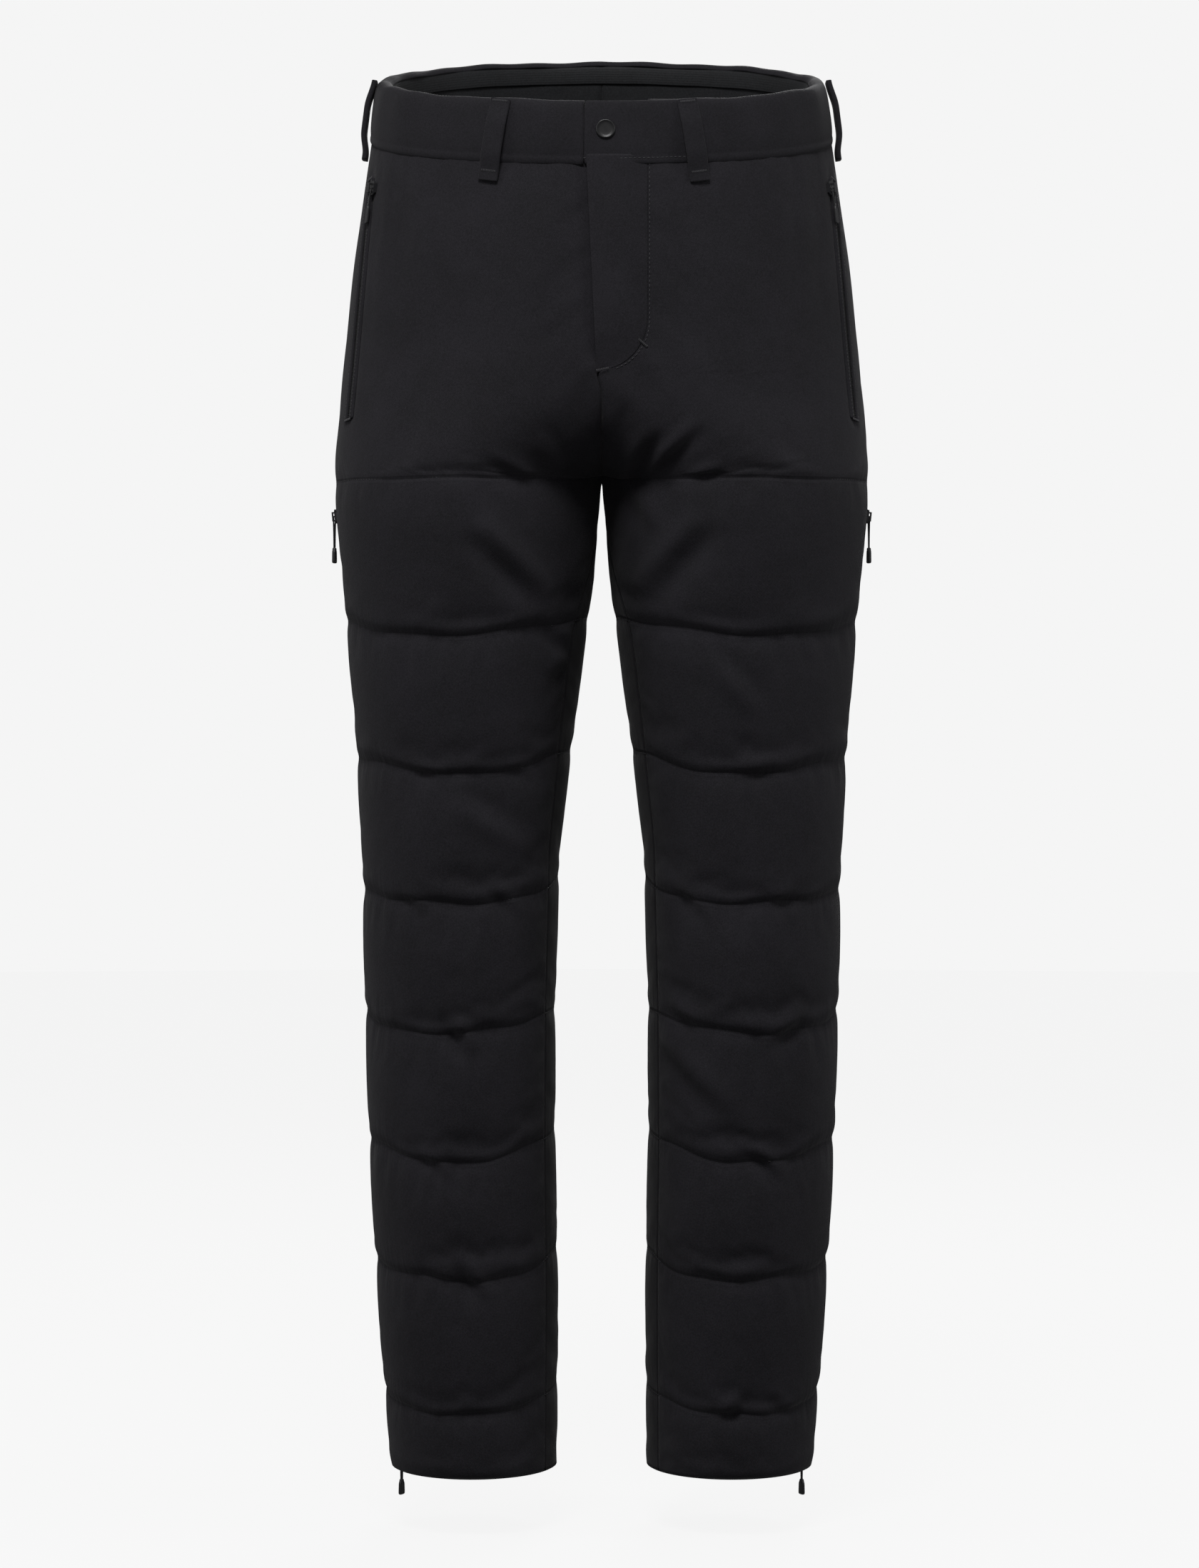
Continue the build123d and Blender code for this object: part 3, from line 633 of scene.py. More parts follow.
def fabric(name, colour, thread=0.8 * MM, roughness=0.8, weave="twill", crinkle=0.35, uv=True, gathered=False):
    made, tree, shader = start_material(name, roughness, sheen=0.06, specular=0.15)
    coordinates = tree.nodes.new("ShaderNodeTexCoord")
    where = coordinates.outputs["UV" if uv else "Object"]
    noise = mottled(tree, shader, coordinates.outputs["Object"], colour, 0.05, 0.3)
    height = None
    turns = {"twill": (0.9, -0.9), "ribs": (1.5708,), "knit": (0.52, -0.52)}[weave]
    crossing = "MAXIMUM" if weave == "knit" else "ADD"
    for turn in turns:
        turned = moved(tree, where, Rotation=(0, 0, turn) if uv else (turn, 0.3, turn))
        wave = add(tree, "ShaderNodeTexWave", Scale=WAVE / thread, Distortion=1.2, Detail=1.0)
        tree.links.new(turned, wave.inputs["Vector"])
        part = wave.outputs["Fac"]
        height = part if height is None else math_node(tree, crossing, height, part)
    small = add(tree, "ShaderNodeTexNoise", Scale=1 / 0.011, Detail=4.0, Roughness=0.55)
    tree.links.new(coordinates.outputs["Object"], small.inputs["Vector"])
    height = math_node(tree, "MULTIPLY", height, 0.06)
    height = math_node(tree, "ADD", height, math_node(tree, "MULTIPLY", small.outputs["Fac"], crinkle))
    if gathered:
        gap = tree.nodes.new("ShaderNodeAttribute")
        gap.attribute_name = "seam_gap"
        near = add(tree, "ShaderNodeMapRange", From_Max=0.03, To_Min=1.0, To_Max=0.0)
        tree.links.new(gap.outputs["Fac"], near.inputs["Value"])
        pleat = add(tree, "ShaderNodeTexNoise", Scale=1.0, Detail=2.0)
        tree.links.new(moved(tree, where, Scale=(190, 22, 1)), pleat.inputs["Vector"])
        pleats = math_node(tree, "MULTIPLY", pleat.outputs["Fac"], near.outputs[0])
        pleats = math_node(tree, "MULTIPLY", pleats, 1.1)
        height = math_node(tree, "ADD", height, pleats)
        line = add(tree, "ShaderNodeMapRange", From_Max=0.0025)
        tree.links.new(gap.outputs["Fac"], line.inputs["Value"])
        height = math_node(tree, "ADD", height, line.outputs[0])
    bumped(tree, shader, height, 0.85, 1.0 * MM)
    uneven_gloss(tree, shader, noise, roughness, 0.07)
    return made


# %% Fabrics
shell_cloth = fabric("stretch_shell", (0.0158, 0.0148, 0.0182), gathered=True)
stretch_cloth = fabric("stretch_panel", (0.0115, 0.0108, 0.0128), 1.1 * MM, weave="knit", gathered=True)
band_cloth = fabric("waistband_cloth", (0.0135, 0.0127, 0.0156), crinkle=0.22)
plain_cloth = fabric("shell_strips", (0.0140, 0.0132, 0.0162), uv=False, crinkle=0.2)
lining_cloth = fabric("lining_cloth", (0.0120, 0.0125, 0.0140), 2.6 * MM, 0.7, weave="knit", crinkle=0.5)
facing_cloth = fabric("facing_tape", (0.0150, 0.0155, 0.0170), 1.9 * MM, 0.65, weave="ribs", crinkle=0.1)
tape_cloth = fabric("zip_tape", (0.0105, 0.0105, 0.0115), 1.0 * MM, 0.75, crinkle=0.05, uv=False)
fill_cloth = fabric("down_padding", (0.03, 0.03, 0.032), roughness=0.7, uv=False)


# %% Moulded, painted and braided finishes
def moulded(name, colour, roughness, grain=0.4 * MM, depth=0.05 * MM, **gloss):
    """Moulded or painted parts: a fine grain for the tool's finish and a trace of uneven gloss."""
    made, tree, shader = start_material(name, roughness, **gloss)
    where = tree.nodes.new("ShaderNodeTexCoord").outputs["Object"]
    noise = mottled(tree, shader, where, colour, 0.004, 0.12)
    fine = add(tree, "ShaderNodeTexNoise", Scale=1 / grain, Detail=2.0)
    tree.links.new(where, fine.inputs["Vector"])
    bumped(tree, shader, fine.outputs["Fac"], 0.6, depth)
    uneven_gloss(tree, shader, noise, roughness, 0.06)
    return made


def braided(name, colour, pitch):
    made, tree, shader = start_material(name, 0.6, sheen=0.2, specular=0.35)
    where = tree.nodes.new("ShaderNodeTexCoord").outputs["Object"]
    mottled(tree, shader, where, colour, 0.003, 0.2)
    height = None
    for turn in (0.6, -0.6):
        wave = add(tree, "ShaderNodeTexWave", Scale=WAVE / pitch)
        wave.bands_direction = "Z"
        tree.links.new(moved(tree, where, Rotation=(turn, turn, 0)), wave.inputs["Vector"])
        part = wave.outputs["Fac"]
        height = part if height is None else math_node(tree, "MULTIPLY", height, part)
    bumped(tree, shader, height, 0.9, 0.2 * MM)
    return made


zip_metal = moulded("zip_metal", (0.020, 0.020, 0.022), 0.25, coat=0.3)
coil_nylon = moulded("zip_coil", (0.013, 0.013, 0.014), 0.35)
tab_rubber = moulded("pull_rubber", (0.016, 0.016, 0.018), 0.5, grain=0.6 * MM, depth=0.08 * MM)
pull_braid = braided("pull_cord", (0.014, 0.014, 0.016), 1.1 * MM)
snap_black = moulded("snap_black", (0.009, 0.009, 0.010), 0.36, specular=0.4)
snap_steel = moulded("snap_steel", (0.35, 0.35, 0.36), 0.3, metallic=1.0)
thread_black = moulded("sewing_thread", (0.034, 0.033, 0.037), 0.5, grain=0.2 * MM)
print("materials:", len(bpy.data.materials))

# %% [markdown]
# ## Panels become cloth with two faces
# Each grid is made a mesh, smoothed once by subdivision, and given the thickness of the shell fabric.
# The padding behind a panel belongs to it: the channels are what makes it bulge, so the finished panel
# stands for both.

# %% Panel pieces
def soften(piece, levels=1):
    smooth = piece.modifiers.new("Subdivision", "SUBSURF")
    smooth.levels = smooth.render_levels = levels


def cloth_piece(name, points, sign, uv, finish, body, stands_for, slot, thickness, gap=None):
    """A grid as cloth of that thickness, laid inwards, on its body and for the nodes it stands for."""
    piece = mesh_object(name, points, grid_faces(*points.shape[:2], sign), uv)
    if gap is not None:
        layer = piece.data.attributes.new("seam_gap", "FLOAT", "POINT")
        layer.data.foreach_set("value", np.asarray(gap, float).ravel())
    piece.data.materials.append(finish)
    soften(piece)
    shell = piece.modifiers.new("Solidify", "SOLIDIFY")
    shell.thickness, shell.offset, shell.use_even_offset = thickness, -1, False
    if body:
        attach(piece, body)
    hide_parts(*stands_for)
    return piece


def grid_area(points):
    a, b = points[1:, :-1] - points[:-1, :-1], points[:-1, 1:] - points[:-1, :-1]
    return float(np.linalg.norm(np.cross(a, b), axis=2).sum())


for name, panel in panels.items():
    inner = name.startswith("inner")
    stands_for = [name] if inner else [name, name.replace("panel", "padding")]
    finish, slot = (stretch_cloth, "stretch_panel") if inner else (shell_cloth, "stretch_shell")
    piece = cloth_piece("cloth_" + name, panel["final"], panel["sign"], panel["uv"], finish, "garment",
                        stands_for, slot, 1.2 * MM, panel["gap"])

# %% [markdown]
# ## The waistband
# The waistband is a folded strip: it comes up from the waist seam, rolls over a soft top edge and goes
# down inside, where a ribbed tape covers it. It follows the waist's ellipse on a plane that rises to the
# back. The outside strip and the tape are two pieces, and the tab over the snap is a third, because it
# opens with the fly.

# %% Waist frame
def waist_point(turn, height, proud):
    """A point of the waistband, from its lower edge up, and its distance outside the cloth."""
    turn, height, proud = np.broadcast_arrays(*map(np.asarray, (turn, height, proud)))
    z = np.full(turn.shape, -0.05)
    for _ in range(8):
        _, cy, a, b = section(z)
        z = waist_seam_z(cy + b * np.sin(turn), height)
    _, cy, a, b = section(z)
    nx, ny = np.cos(turn) / a, np.sin(turn) / b
    size = np.hypot(nx, ny)
    return np.stack([a * np.cos(turn) + proud * nx / size, cy + b * np.sin(turn) + proud * ny / size, z], -1)


def waist_turn(x, back=False):
    """The turn where the front (or the back) of the band is at that x."""
    _, _, a, _ = section(np.array(-0.064))
    swing = math.asin(x / float(a))
    return (math.pi / 2 - swing) if back else (-math.pi / 2 + swing)


def band_grid(turns, profile, sway=0.0, proud=0.0):
    """Rows follow the profile of (distance outside, height), columns follow the waist."""
    profile = np.array(profile, float) * MM
    wave = np.sin(9 * turns + 0.7) + 0.6 * np.sin(23 * turns + 2.1)
    top = smoothstep(profile[:, 1] / 0.045)[:, None]
    heights = profile[:, 1:2] + sway * 0.5 * MM * wave[None] * top
    prouds = profile[:, 0:1] + proud * MM + sway * 0.55 * MM * np.roll(wave, 7)[None] * (0.3 + top)
    points = waist_point(np.broadcast_to(turns[None], heights.shape), heights, prouds)
    around = np.concatenate([[0], np.cumsum(np.linalg.norm(np.diff(points[0], axis=0), axis=1))])
    up = np.concatenate([[0], np.cumsum(np.linalg.norm(np.diff(profile, axis=0), axis=1))])
    return points, np.stack(np.broadcast_arrays(around[None, :], up[:, None]), -1)


OUTSIDE = [(-0.6, -1.5), (0.6, 0), (0.8, 3), (0.4, 4.2), (1.1, 7), (1.6, 14), (1.7, 22), (1.6, 30), (1.4, 36),
           (0.9, 41), (-0.4, 44.3), (-2.8, 45.6), (-6, 45.4), (-8.4, 43.8), (-9.6, 41.5)]
INSIDE = [(-9.0, 42.5), (-9.9, 40.5), (-10.3, 38), (-10.5, 34), (-10.5, 31), (-10.4, 29), (-10.2, 28)]
UNDER_TAB_X, BAND_EDGE_X = 0.036, -0.0135  # where the band starts, and where it ends at the fly
SEAM_SWING = 1.28  # from the band's ends to its side seams, in radians
full_turn = 2 * math.pi
main_turns = np.linspace(waist_turn(UNDER_TAB_X), full_turn + waist_turn(BAND_EDGE_X), 260)
main_points, main_uv = band_grid(main_turns, OUTSIDE, sway=1.0, proud=-0.4)
for seam in (waist_turn(UNDER_TAB_X) + SEAM_SWING, full_turn + waist_turn(-UNDER_TAB_X) - SEAM_SWING, math.pi / 2):
    near = np.exp(-(((main_turns - seam) / 0.012) ** 2))[None, :, None]
    centre = main_points.mean(axis=(0, 1))
    inward = (main_points - centre) * np.array([1, 1, 0])
    inward /= np.linalg.norm(inward, axis=2, keepdims=True)
    main_points -= inward * near * 1.0 * MM
band = cloth_piece("waistband_outside", main_points, 1, main_uv, band_cloth, "garment",
                   ["waistband_front_left", "waistband_back", "waistband_front_right"], "waistband_cloth", 1.4 * MM)
facing_turns = np.linspace(waist_turn(0.028), full_turn + waist_turn(BAND_EDGE_X), 200)
facing_points, facing_uv = band_grid(facing_turns, INSIDE, sway=0.4)
facing = cloth_piece("waistband_inside_tape", facing_points, 1, facing_uv, facing_cloth, "garment",
                     ["waistband_facing"], "facing_tape", 1.0 * MM)
grid_area(facing_points)
print("waistband is", round(main_uv[0, -1, 0], 3), "m round")

# %% [markdown]
# ## Tab and underlap
# The tab is the end of the left waistband. It is a flat closed strip, so it is carried along the waist
# as one outline.

# %% Closed strips
def closed_strip(name, rings, finish):
    """Rings of points, one after the other, as a closed skin with its ends capped."""
    rings = np.asarray(rings)
    count, size = rings.shape[:2]
    index = np.arange(count * size).reshape(count, size)
    ahead = np.roll(index, -1, axis=1)
    faces = np.stack([index[:-1], ahead[:-1], ahead[1:], index[1:]], -1).reshape(-1, 4).tolist()
    piece = mesh_object(name, rings, faces + [index[0].tolist(), index[-1].tolist()])
    work = bmesh.new()
    work.from_mesh(piece.data)
    bmesh.ops.recalc_face_normals(work, faces=work.faces)
    work.to_mesh(piece.data)
    work.free()
    piece.data.materials.append(finish)
    return piece


def band_strip(name, x_from, x_to, outline, columns, finish):
    turns = np.linspace(waist_turn(x_from), waist_turn(x_to), columns)
    outline = np.array(outline, float) * MM
    return closed_strip(name, [waist_point(t, outline[:, 1], outline[:, 0]) for t in turns], finish)


TAB_OUTLINE = [(0.9, -1.6), (1.5, 0), (1.7, 2.6), (1.3, 4.0), (1.9, 7), (2.3, 14), (2.4, 24), (2.3, 32), (2.1, 39),
               (1.6, 44.2), (0.4, 46.4), (-0.8, 45.0), (-0.8, 38), (-0.8, 24), (-0.8, 8), (-0.8, 0), (-0.2, -1.6)]
tab = band_strip("waistband_tab_cloth", -0.0137, 0.066, TAB_OUTLINE, 34, plain_cloth)
soften(tab)
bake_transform(tab)
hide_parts("waistband_tab")
UNDERLAP_OUTLINE = [(-5.2, 1), (-4.8, 20), (-5.2, 41), (-6.2, 42.4), (-7.2, 41), (-7.4, 20), (-7.2, 1), (-6.2, 0)]
underlap = band_strip("waistband_underlap", -0.044, 0.0262, UNDERLAP_OUTLINE, 22, plain_cloth)
soften(underlap)
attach(underlap, "garment")

# %% [markdown]
# ## The fly
# The flap is the left front's own cloth, stitched down along a J. Its grid runs from the free edge to
# that J and closes to a point at the fly's foot.

# %% Fly flap
flap_rows = np.concatenate([np.linspace(0.0, 0.82, 40), np.linspace(0.82, 1, 16)[1:]])
flap_top = waist_point(waist_turn(0.01), 6 * MM, 0)[2]
flap_z = flap_top + (FLY_FOOT_Z - flap_top) * flap_rows


def on_front(x, z, proud=0.0):
    x, z = np.broadcast_arrays(x, z)
    cx, cy, a, b = section(z)
    y = cy - (b + proud) * np.sqrt(np.clip(1 - ((x - cx) / a) ** 2, 0, 1))
    return np.stack([x, y, z], -1)


flap_share = np.linspace(0, 1, 16)
flap_x = fly_edge_x(flap_z)[:, None] * (1 - flap_share) + fly_stitch_x(flap_z)[:, None] * flap_share
crown = 2.0 * MM * (1 - flap_share) ** 0.7 + 0.5 * MM * np.sin(np.pi * flap_share)
crown = crown[None] * smoothstep((flap_z - FLY_FOOT_Z) / 0.03)[:, None] + 0.3 * MM
crown = crown + 0.35 * MM * np.sin(flap_z[:, None] * 95 + 3 * flap_share[None]) * np.sin(np.pi * flap_share)[None]
flap_points = on_front(flap_x, flap_z[:, None], crown)
flap_uv = np.stack(np.broadcast_arrays(flap_x, flap_z[:, None]), -1)
flap = cloth_piece("fly_flap_cloth", flap_points, 1, flap_uv, shell_cloth, None, ["fly_flap"], "stretch_shell",
                   1.7 * MM, gap=np.full(flap_points.shape[:2], 0.05))
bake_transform(flap)
grid_area(flap_points)

# %% Fly shield
shield_x = np.linspace(-0.030, 0.026, 10)[None]
shield_z = np.linspace(-0.084, -0.246, 24)[:, None]
shield_points = on_front(shield_x, shield_z, -11.5 * MM + 0.4 * MM * np.sin(shield_z * 120))
shield = cloth_piece("fly_shield_cloth", shield_points, 1, np.stack(np.broadcast_arrays(shield_x, shield_z), -1),
                     lining_cloth, "garment", ["fly_shield"], "lining_cloth", 0.9 * MM)

# %% [markdown]
# ## Lining and hems
# Inside, each leg has a light lining of its own, knitted at the waist, and the hem is turned up into a
# facing that meets it. They close the hollow of the padding when one looks in from above or below.

# %% Inside cloth
def tube_grid(z_rows, depths, columns, sign, wave, waist_height=None):
    """One side's tube of cloth, rows down and columns round. Its top row may follow the waist's slope."""
    z = np.repeat(np.asarray(z_rows, float)[:, None], columns, 1)
    depth = np.broadcast_to(np.asarray(depths, float), (len(z_rows),))[:, None]
    share = np.linspace(-1, 1, columns)[None]

    def turn_of(z, depth):
        cx, _, a, _ = section(z)
        return np.arccos(np.clip(-cx / (a - depth), -1, 1)) * share

    if waist_height is not None:
        top = np.full((1, columns), -0.05)
        for _ in range(12):
            top = waist_seam_z(skin(turn_of(top, depth[0]), top, depth[0])[..., 1], waist_height)
        z = np.where(z > -0.15, -0.15 + (z + 0.15) / (z[0] + 0.15) * (top + 0.15), z)
    turn = turn_of(z, depth)
    points = skin(turn, z, depth + wave * np.sin(6 * turn + 25 * z) * np.sin(38 * z))
    points[..., 0] *= sign
    return points, np.stack([turn * 0.13, z], -1)


LINING_DEPTH, LINING_TOP = 9.1 * MM, 37 * MM  # inside the shell, and above the waist seam
lining_rows = np.concatenate([np.linspace(-0.05, -0.33, 36), np.linspace(-0.34, -1.044, 60)])
hem_rows = np.array([-1.0802, -1.0812, -1.0805, -1.076, -1.070, -1.060, -1.050, -1.042, -1.036])
hem_depth = np.array([0.6, 1.4, 2.2, 2.6, 3.0, 4.2, 6.0, 8.2, 10.0]) * MM
for side, sign in SIDES:
    points, uv = tube_grid(lining_rows, LINING_DEPTH, 49, sign, 0.4 * MM, LINING_TOP)
    lining = cloth_piece(f"lining_cloth_{side}", points, sign, uv, lining_cloth, "garment", [f"lining_{side}"],
                         "lining_cloth", 0.8 * MM)
    grid_area(points)
    points, uv = tube_grid(hem_rows, hem_depth, 60, sign, 0.0)
    hem = cloth_piece(f"hem_facing_cloth_{side}", points, -sign, uv, facing_cloth, "garment",
                      [f"hem_facing_{side}"], "facing_tape", 0.8 * MM)
    grid_area(points)

# %% [markdown]
# ## Belt loops
# Six loops of folded cloth run from the band's top edge to just below its seam. Each is one outline,
# a flat strip with rounded edges, carried down a line that stands off in the middle.

# %% Strips along a line
def line_frames(line, outward):
    tangent = np.gradient(line, axis=0)
    tangent /= np.linalg.norm(tangent, axis=1, keepdims=True)
    side = np.cross(outward, tangent)
    side /= np.linalg.norm(side, axis=1, keepdims=True)
    return side, np.cross(tangent, side)


def strip_along(name, line, outward, outline, finish):
    """Carries an outline of (sideways, outward) sizes in millimetres down a line of points."""
    side, out = line_frames(line, outward)
    outline = np.array(outline, float) * MM
    rings = line[:, None] + side[:, None] * outline[None, :, :1] + out[:, None] * outline[None, :, 1:]
    return closed_strip(name, rings, finish)


def joined(name, pieces):
    """One mesh of several, for pieces that the frame keeps as one node."""
    work = bmesh.new()
    finish = pieces[0].data.materials[0]
    for piece in pieces:
        work.from_mesh(piece.data)
        bpy.data.objects.remove(piece)
    mesh = bpy.data.meshes.new(name)
    work.to_mesh(mesh)
    work.free()
    mesh.materials.append(finish)
    return placed(name, mesh)


LOOP_OUTLINE = [(-7.9, 1.0), (-7.7, 2.0), (-6.2, 2.4), (0, 2.5), (6.2, 2.4), (7.7, 2.0), (7.9, 1.0), (7.7, 0.2),
                (6.2, 0), (0, 0.1), (-6.2, 0), (-7.7, 0.2)]


def belt_loop(turn_top, turn_end, stand_off, thickness=1.0):
    heights = np.concatenate([[45.6, 45.2], np.linspace(43.5, -14, 22), [-15.6, -16.0]]) * MM
    share = (heights[0] - heights) / (heights[0] - heights[-1])
    turns = turn_top + (turn_end - turn_top) * share
    bow = smoothstep(share / 0.34) * smoothstep((0.93 - share) / 0.3)
    proud = 1.6 * MM + stand_off * MM * bow
    line = waist_point(turns, heights, proud)
    outward = line - waist_point(turns, heights, proud - 0.01)
    outline = [(x, y * thickness) for x, y in LOOP_OUTLINE]
    return strip_along("loop", line, outward, outline, plain_cloth), line, outward


back_turns = waist_turn(0.062, True), waist_turn(-0.062, True)
LOOP_PLACES = {  # each loop's turns at its top and end, how far it stands off, and how thick it is
    "front": [(waist_turn(0.0645), waist_turn(0.071), 3.2),
              (waist_turn(-0.0765), waist_turn(-0.0825), 3.2)],
    "side": [(0.0, 0.0, 3.4, 1.9), (math.pi, math.pi, 3.4, 1.9)],
    "back": [(turn, turn, 3.6) for turn in back_turns],
}
loop_lines = []
for place, loops in LOOP_PLACES.items():
    made = [belt_loop(*loop) for loop in loops]
    loop_lines += [(line, outward) for _, line, outward in made]
    pair = joined(f"belt_loops_{place}_cloth", [piece for piece, _, _ in made])
    soften(pair)
    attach(pair, "garment")
    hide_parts(f"belt_loops_{place}")

# %% [markdown]
# ## Zips
# Each zip is a woven tape, a coil of nylon teeth, two folded cloth edges beside it, a slider and a pull.
# The teeth repeat hundreds of times, so they are placed by Geometry Nodes along the zip's line. The same
# tree sews the seams: a stitch and a tooth are both a small rounded bead turned along the line and out
# from the cloth.

# %% Beads along a line, with Geometry Nodes
def bead_tree():
    tree = bpy.data.node_groups.new("beads_along_line", "GeometryNodeTree")
    face = tree.interface
    face.new_socket("Geometry", in_out="INPUT", socket_type="NodeSocketGeometry")
    for label in ("Pitch", "Along", "Across", "Height"):
        face.new_socket(label, in_out="INPUT", socket_type="NodeSocketFloat")
    face.new_socket("Finish", in_out="INPUT", socket_type="NodeSocketMaterial")
    face.new_socket("Geometry", in_out="OUTPUT", socket_type="NodeSocketGeometry")
    new, link = tree.nodes.new, tree.links.new
    given, result = new("NodeGroupInput"), new("NodeGroupOutput")
    to_curve, resample = new("GeometryNodeMeshToCurve"), new("GeometryNodeResampleCurve")
    resample.mode = "LENGTH"
    link(given.outputs["Geometry"], to_curve.inputs["Mesh"])
    link(to_curve.outputs["Curve"], resample.inputs["Curve"])
    link(given.outputs["Pitch"], resample.inputs["Length"])
    outward = new("GeometryNodeInputNamedAttribute")
    outward.data_type = "FLOAT_VECTOR"
    outward.inputs["Name"].default_value = "outward"
    up = new("FunctionNodeAlignRotationToVector")
    up.axis = "Z"
    link(outward.outputs["Attribute"], up.inputs["Vector"])
    ahead = new("FunctionNodeAlignRotationToVector")
    ahead.axis, ahead.pivot_axis = "X", "Z"
    link(up.outputs["Rotation"], ahead.inputs["Rotation"])
    link(new("GeometryNodeInputTangent").outputs["Tangent"], ahead.inputs["Vector"])
    bead = new("GeometryNodeMeshUVSphere")
    bead.inputs["Segments"].default_value, bead.inputs["Rings"].default_value = 7, 5
    bead.inputs["Radius"].default_value = 0.5
    size = new("ShaderNodeCombineXYZ")
    for socket, label in zip(size.inputs, ("Along", "Across", "Height")):
        link(given.outputs[label], socket)
    place = new("GeometryNodeInstanceOnPoints")
    link(resample.outputs["Curve"], place.inputs["Points"])
    link(bead.outputs["Mesh"], place.inputs["Instance"])
    link(ahead.outputs["Rotation"], place.inputs["Rotation"])
    link(size.outputs["Vector"], place.inputs["Scale"])
    real, smooth = new("GeometryNodeRealizeInstances"), new("GeometryNodeSetShadeSmooth")
    finish = new("GeometryNodeSetMaterial")
    link(place.outputs["Instances"], real.inputs["Geometry"])
    link(real.outputs["Geometry"], smooth.inputs["Geometry"])
    link(smooth.outputs["Geometry"], finish.inputs["Geometry"])
    link(given.outputs["Finish"], finish.inputs["Material"])
    link(finish.outputs["Geometry"], result.inputs["Geometry"])
    return tree


beads = bead_tree()


def bead_line(name, lines, pitch, along_size, across, height, finish):
    """Lines are pairs of points and outward directions. Returns one plain mesh of all the beads."""
    mesh = bpy.data.meshes.new(name + "_line")
    points, outs, edges = [], [], []
    for line, outward in lines:
        first = len(points)
        points += np.asarray(line).tolist()
        outs += np.asarray(outward).tolist()
        edges += [(first + k, first + k + 1) for k in range(len(line) - 1)]
    mesh.from_pydata(points, edges, [])
    mesh.attributes.new("outward", "FLOAT_VECTOR", "POINT").data.foreach_set("vector", np.ravel(outs))
    carrier = placed(name + "_line", mesh)
    modifier = carrier.modifiers.new("Beads", "NODES")
    modifier.node_group = beads
    values = {"Pitch": pitch, "Along": along_size, "Across": across, "Height": height, "Finish": finish}
    for item in beads.interface.items_tree:
        if item.in_out == "INPUT" and item.name in values:
            modifier[item.identifier] = values[item.name]
    result = evaluated_mesh(carrier)
    result.name = name
    if not result.materials:
        result.materials.append(finish)
    return placed(name, result)


# %% Zip lines
def outward_at(turn, z):
    _, _, a, b = section(z)
    n = np.stack(np.broadcast_arrays(np.cos(turn) / a, np.sin(turn) / b, 0 * z), -1)
    return n / np.linalg.norm(n, axis=-1, keepdims=True)


def mirror(vectors, sign):
    return np.asarray(vectors) * np.array([sign, 1, 1])


side_z = np.linspace(-0.3365, -1.0775, 180)
side_turns = side_turn(side_z)
side_path, side_out = skin(side_turns, side_z), outward_at(side_turns, side_z)
pocket_turns = front_turn_at_x(pocket_x, pocket_z)
pocket_out = outward_at(pocket_turns, pocket_z)
TAPE_OUTLINE = [(-1, -0.3), (-1, 0.3), (-0.5, 0.4), (0, 0.4), (0.5, 0.4), (1, 0.3), (1, -0.3), (0, -0.4)]
LIP_OUTLINE = [(-3.0, -0.9), (-3.1, 0.1), (-2.4, 0.75), (-1.2, 0.95), (0.4, 0.8), (1.8, 0.3), (3.0, -0.5),
               (3.0, -1.4), (0, -1.2)]
ZIPS = [  # its line, then in millimetres: the tape's half width, its depth, and the lips' distance
    ("side", side_path, side_out, 7.5, -1.5, 5.2),
    ("pocket", pocket_path, pocket_out, 6.5, -1.6, 4.9),
]
for side, sign in SIDES:
    for kind, path, out, half, sunk, _ in ZIPS:
        line, outward = mirror(path + out * sunk * MM, sign), mirror(out, sign)
        outline = [(x * half, y) for x, y in TAPE_OUTLINE]
        tape = strip_along(f"{kind}_zip_tape_cloth_{side}", line, outward, outline, tape_cloth)
        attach(tape, "garment")
        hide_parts(f"{kind}_zip_tape_{side}")
        teeth_line = mirror(path + out * (sunk + 1.35) * MM, sign)
        across, _ = line_frames(teeth_line, outward)
        halves = [(teeth_line + across * 1.15 * MM * k, outward) for k in (-1, 1)]
        teeth = bead_line(f"{kind}_zip_teeth_{side}", halves, 1.4 * MM, 0.95 * MM, 2.5 * MM, 1.5 * MM,
                          coil_nylon)
        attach(teeth, "garment")
        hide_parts(f"{kind}_zip_coil_{side}")

# %% [markdown]
# ## Folded edges beside the zips
# The cloth is turned under beside each zip and topstitched. A narrow strip makes that crisp lip, and it
# hides where the panel dips to the tape.

# %% Lips and their stitching
lip_lines = []
for side, sign in SIDES:
    lips = []
    for _, path, out, _, _, reach in ZIPS:
        side_ways, _ = line_frames(path, out)
        for way in (-1, 1):
            line = mirror(path + side_ways * way * reach * MM + out * 0.25 * MM, sign)
            outline = [(x * way * sign, y) for x, y in LIP_OUTLINE]
            lips.append(strip_along("lip", line, mirror(out, sign), outline, plain_cloth))
            stitch = mirror(path + side_ways * way * (reach + 0.4) * MM + out * 1.1 * MM, sign)
            lip_lines.append((stitch, mirror(out, sign)))
    edge = joined(f"zip_edges_{side}", lips)
    soften(edge)
    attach(edge, "garment")

# %% [markdown]
# ## Pulls
# A pull is a doubled cord through the slider's bridge with a moulded grip on its ends. The grip has a
# collar, a raised rim and a shallow dish in the middle.

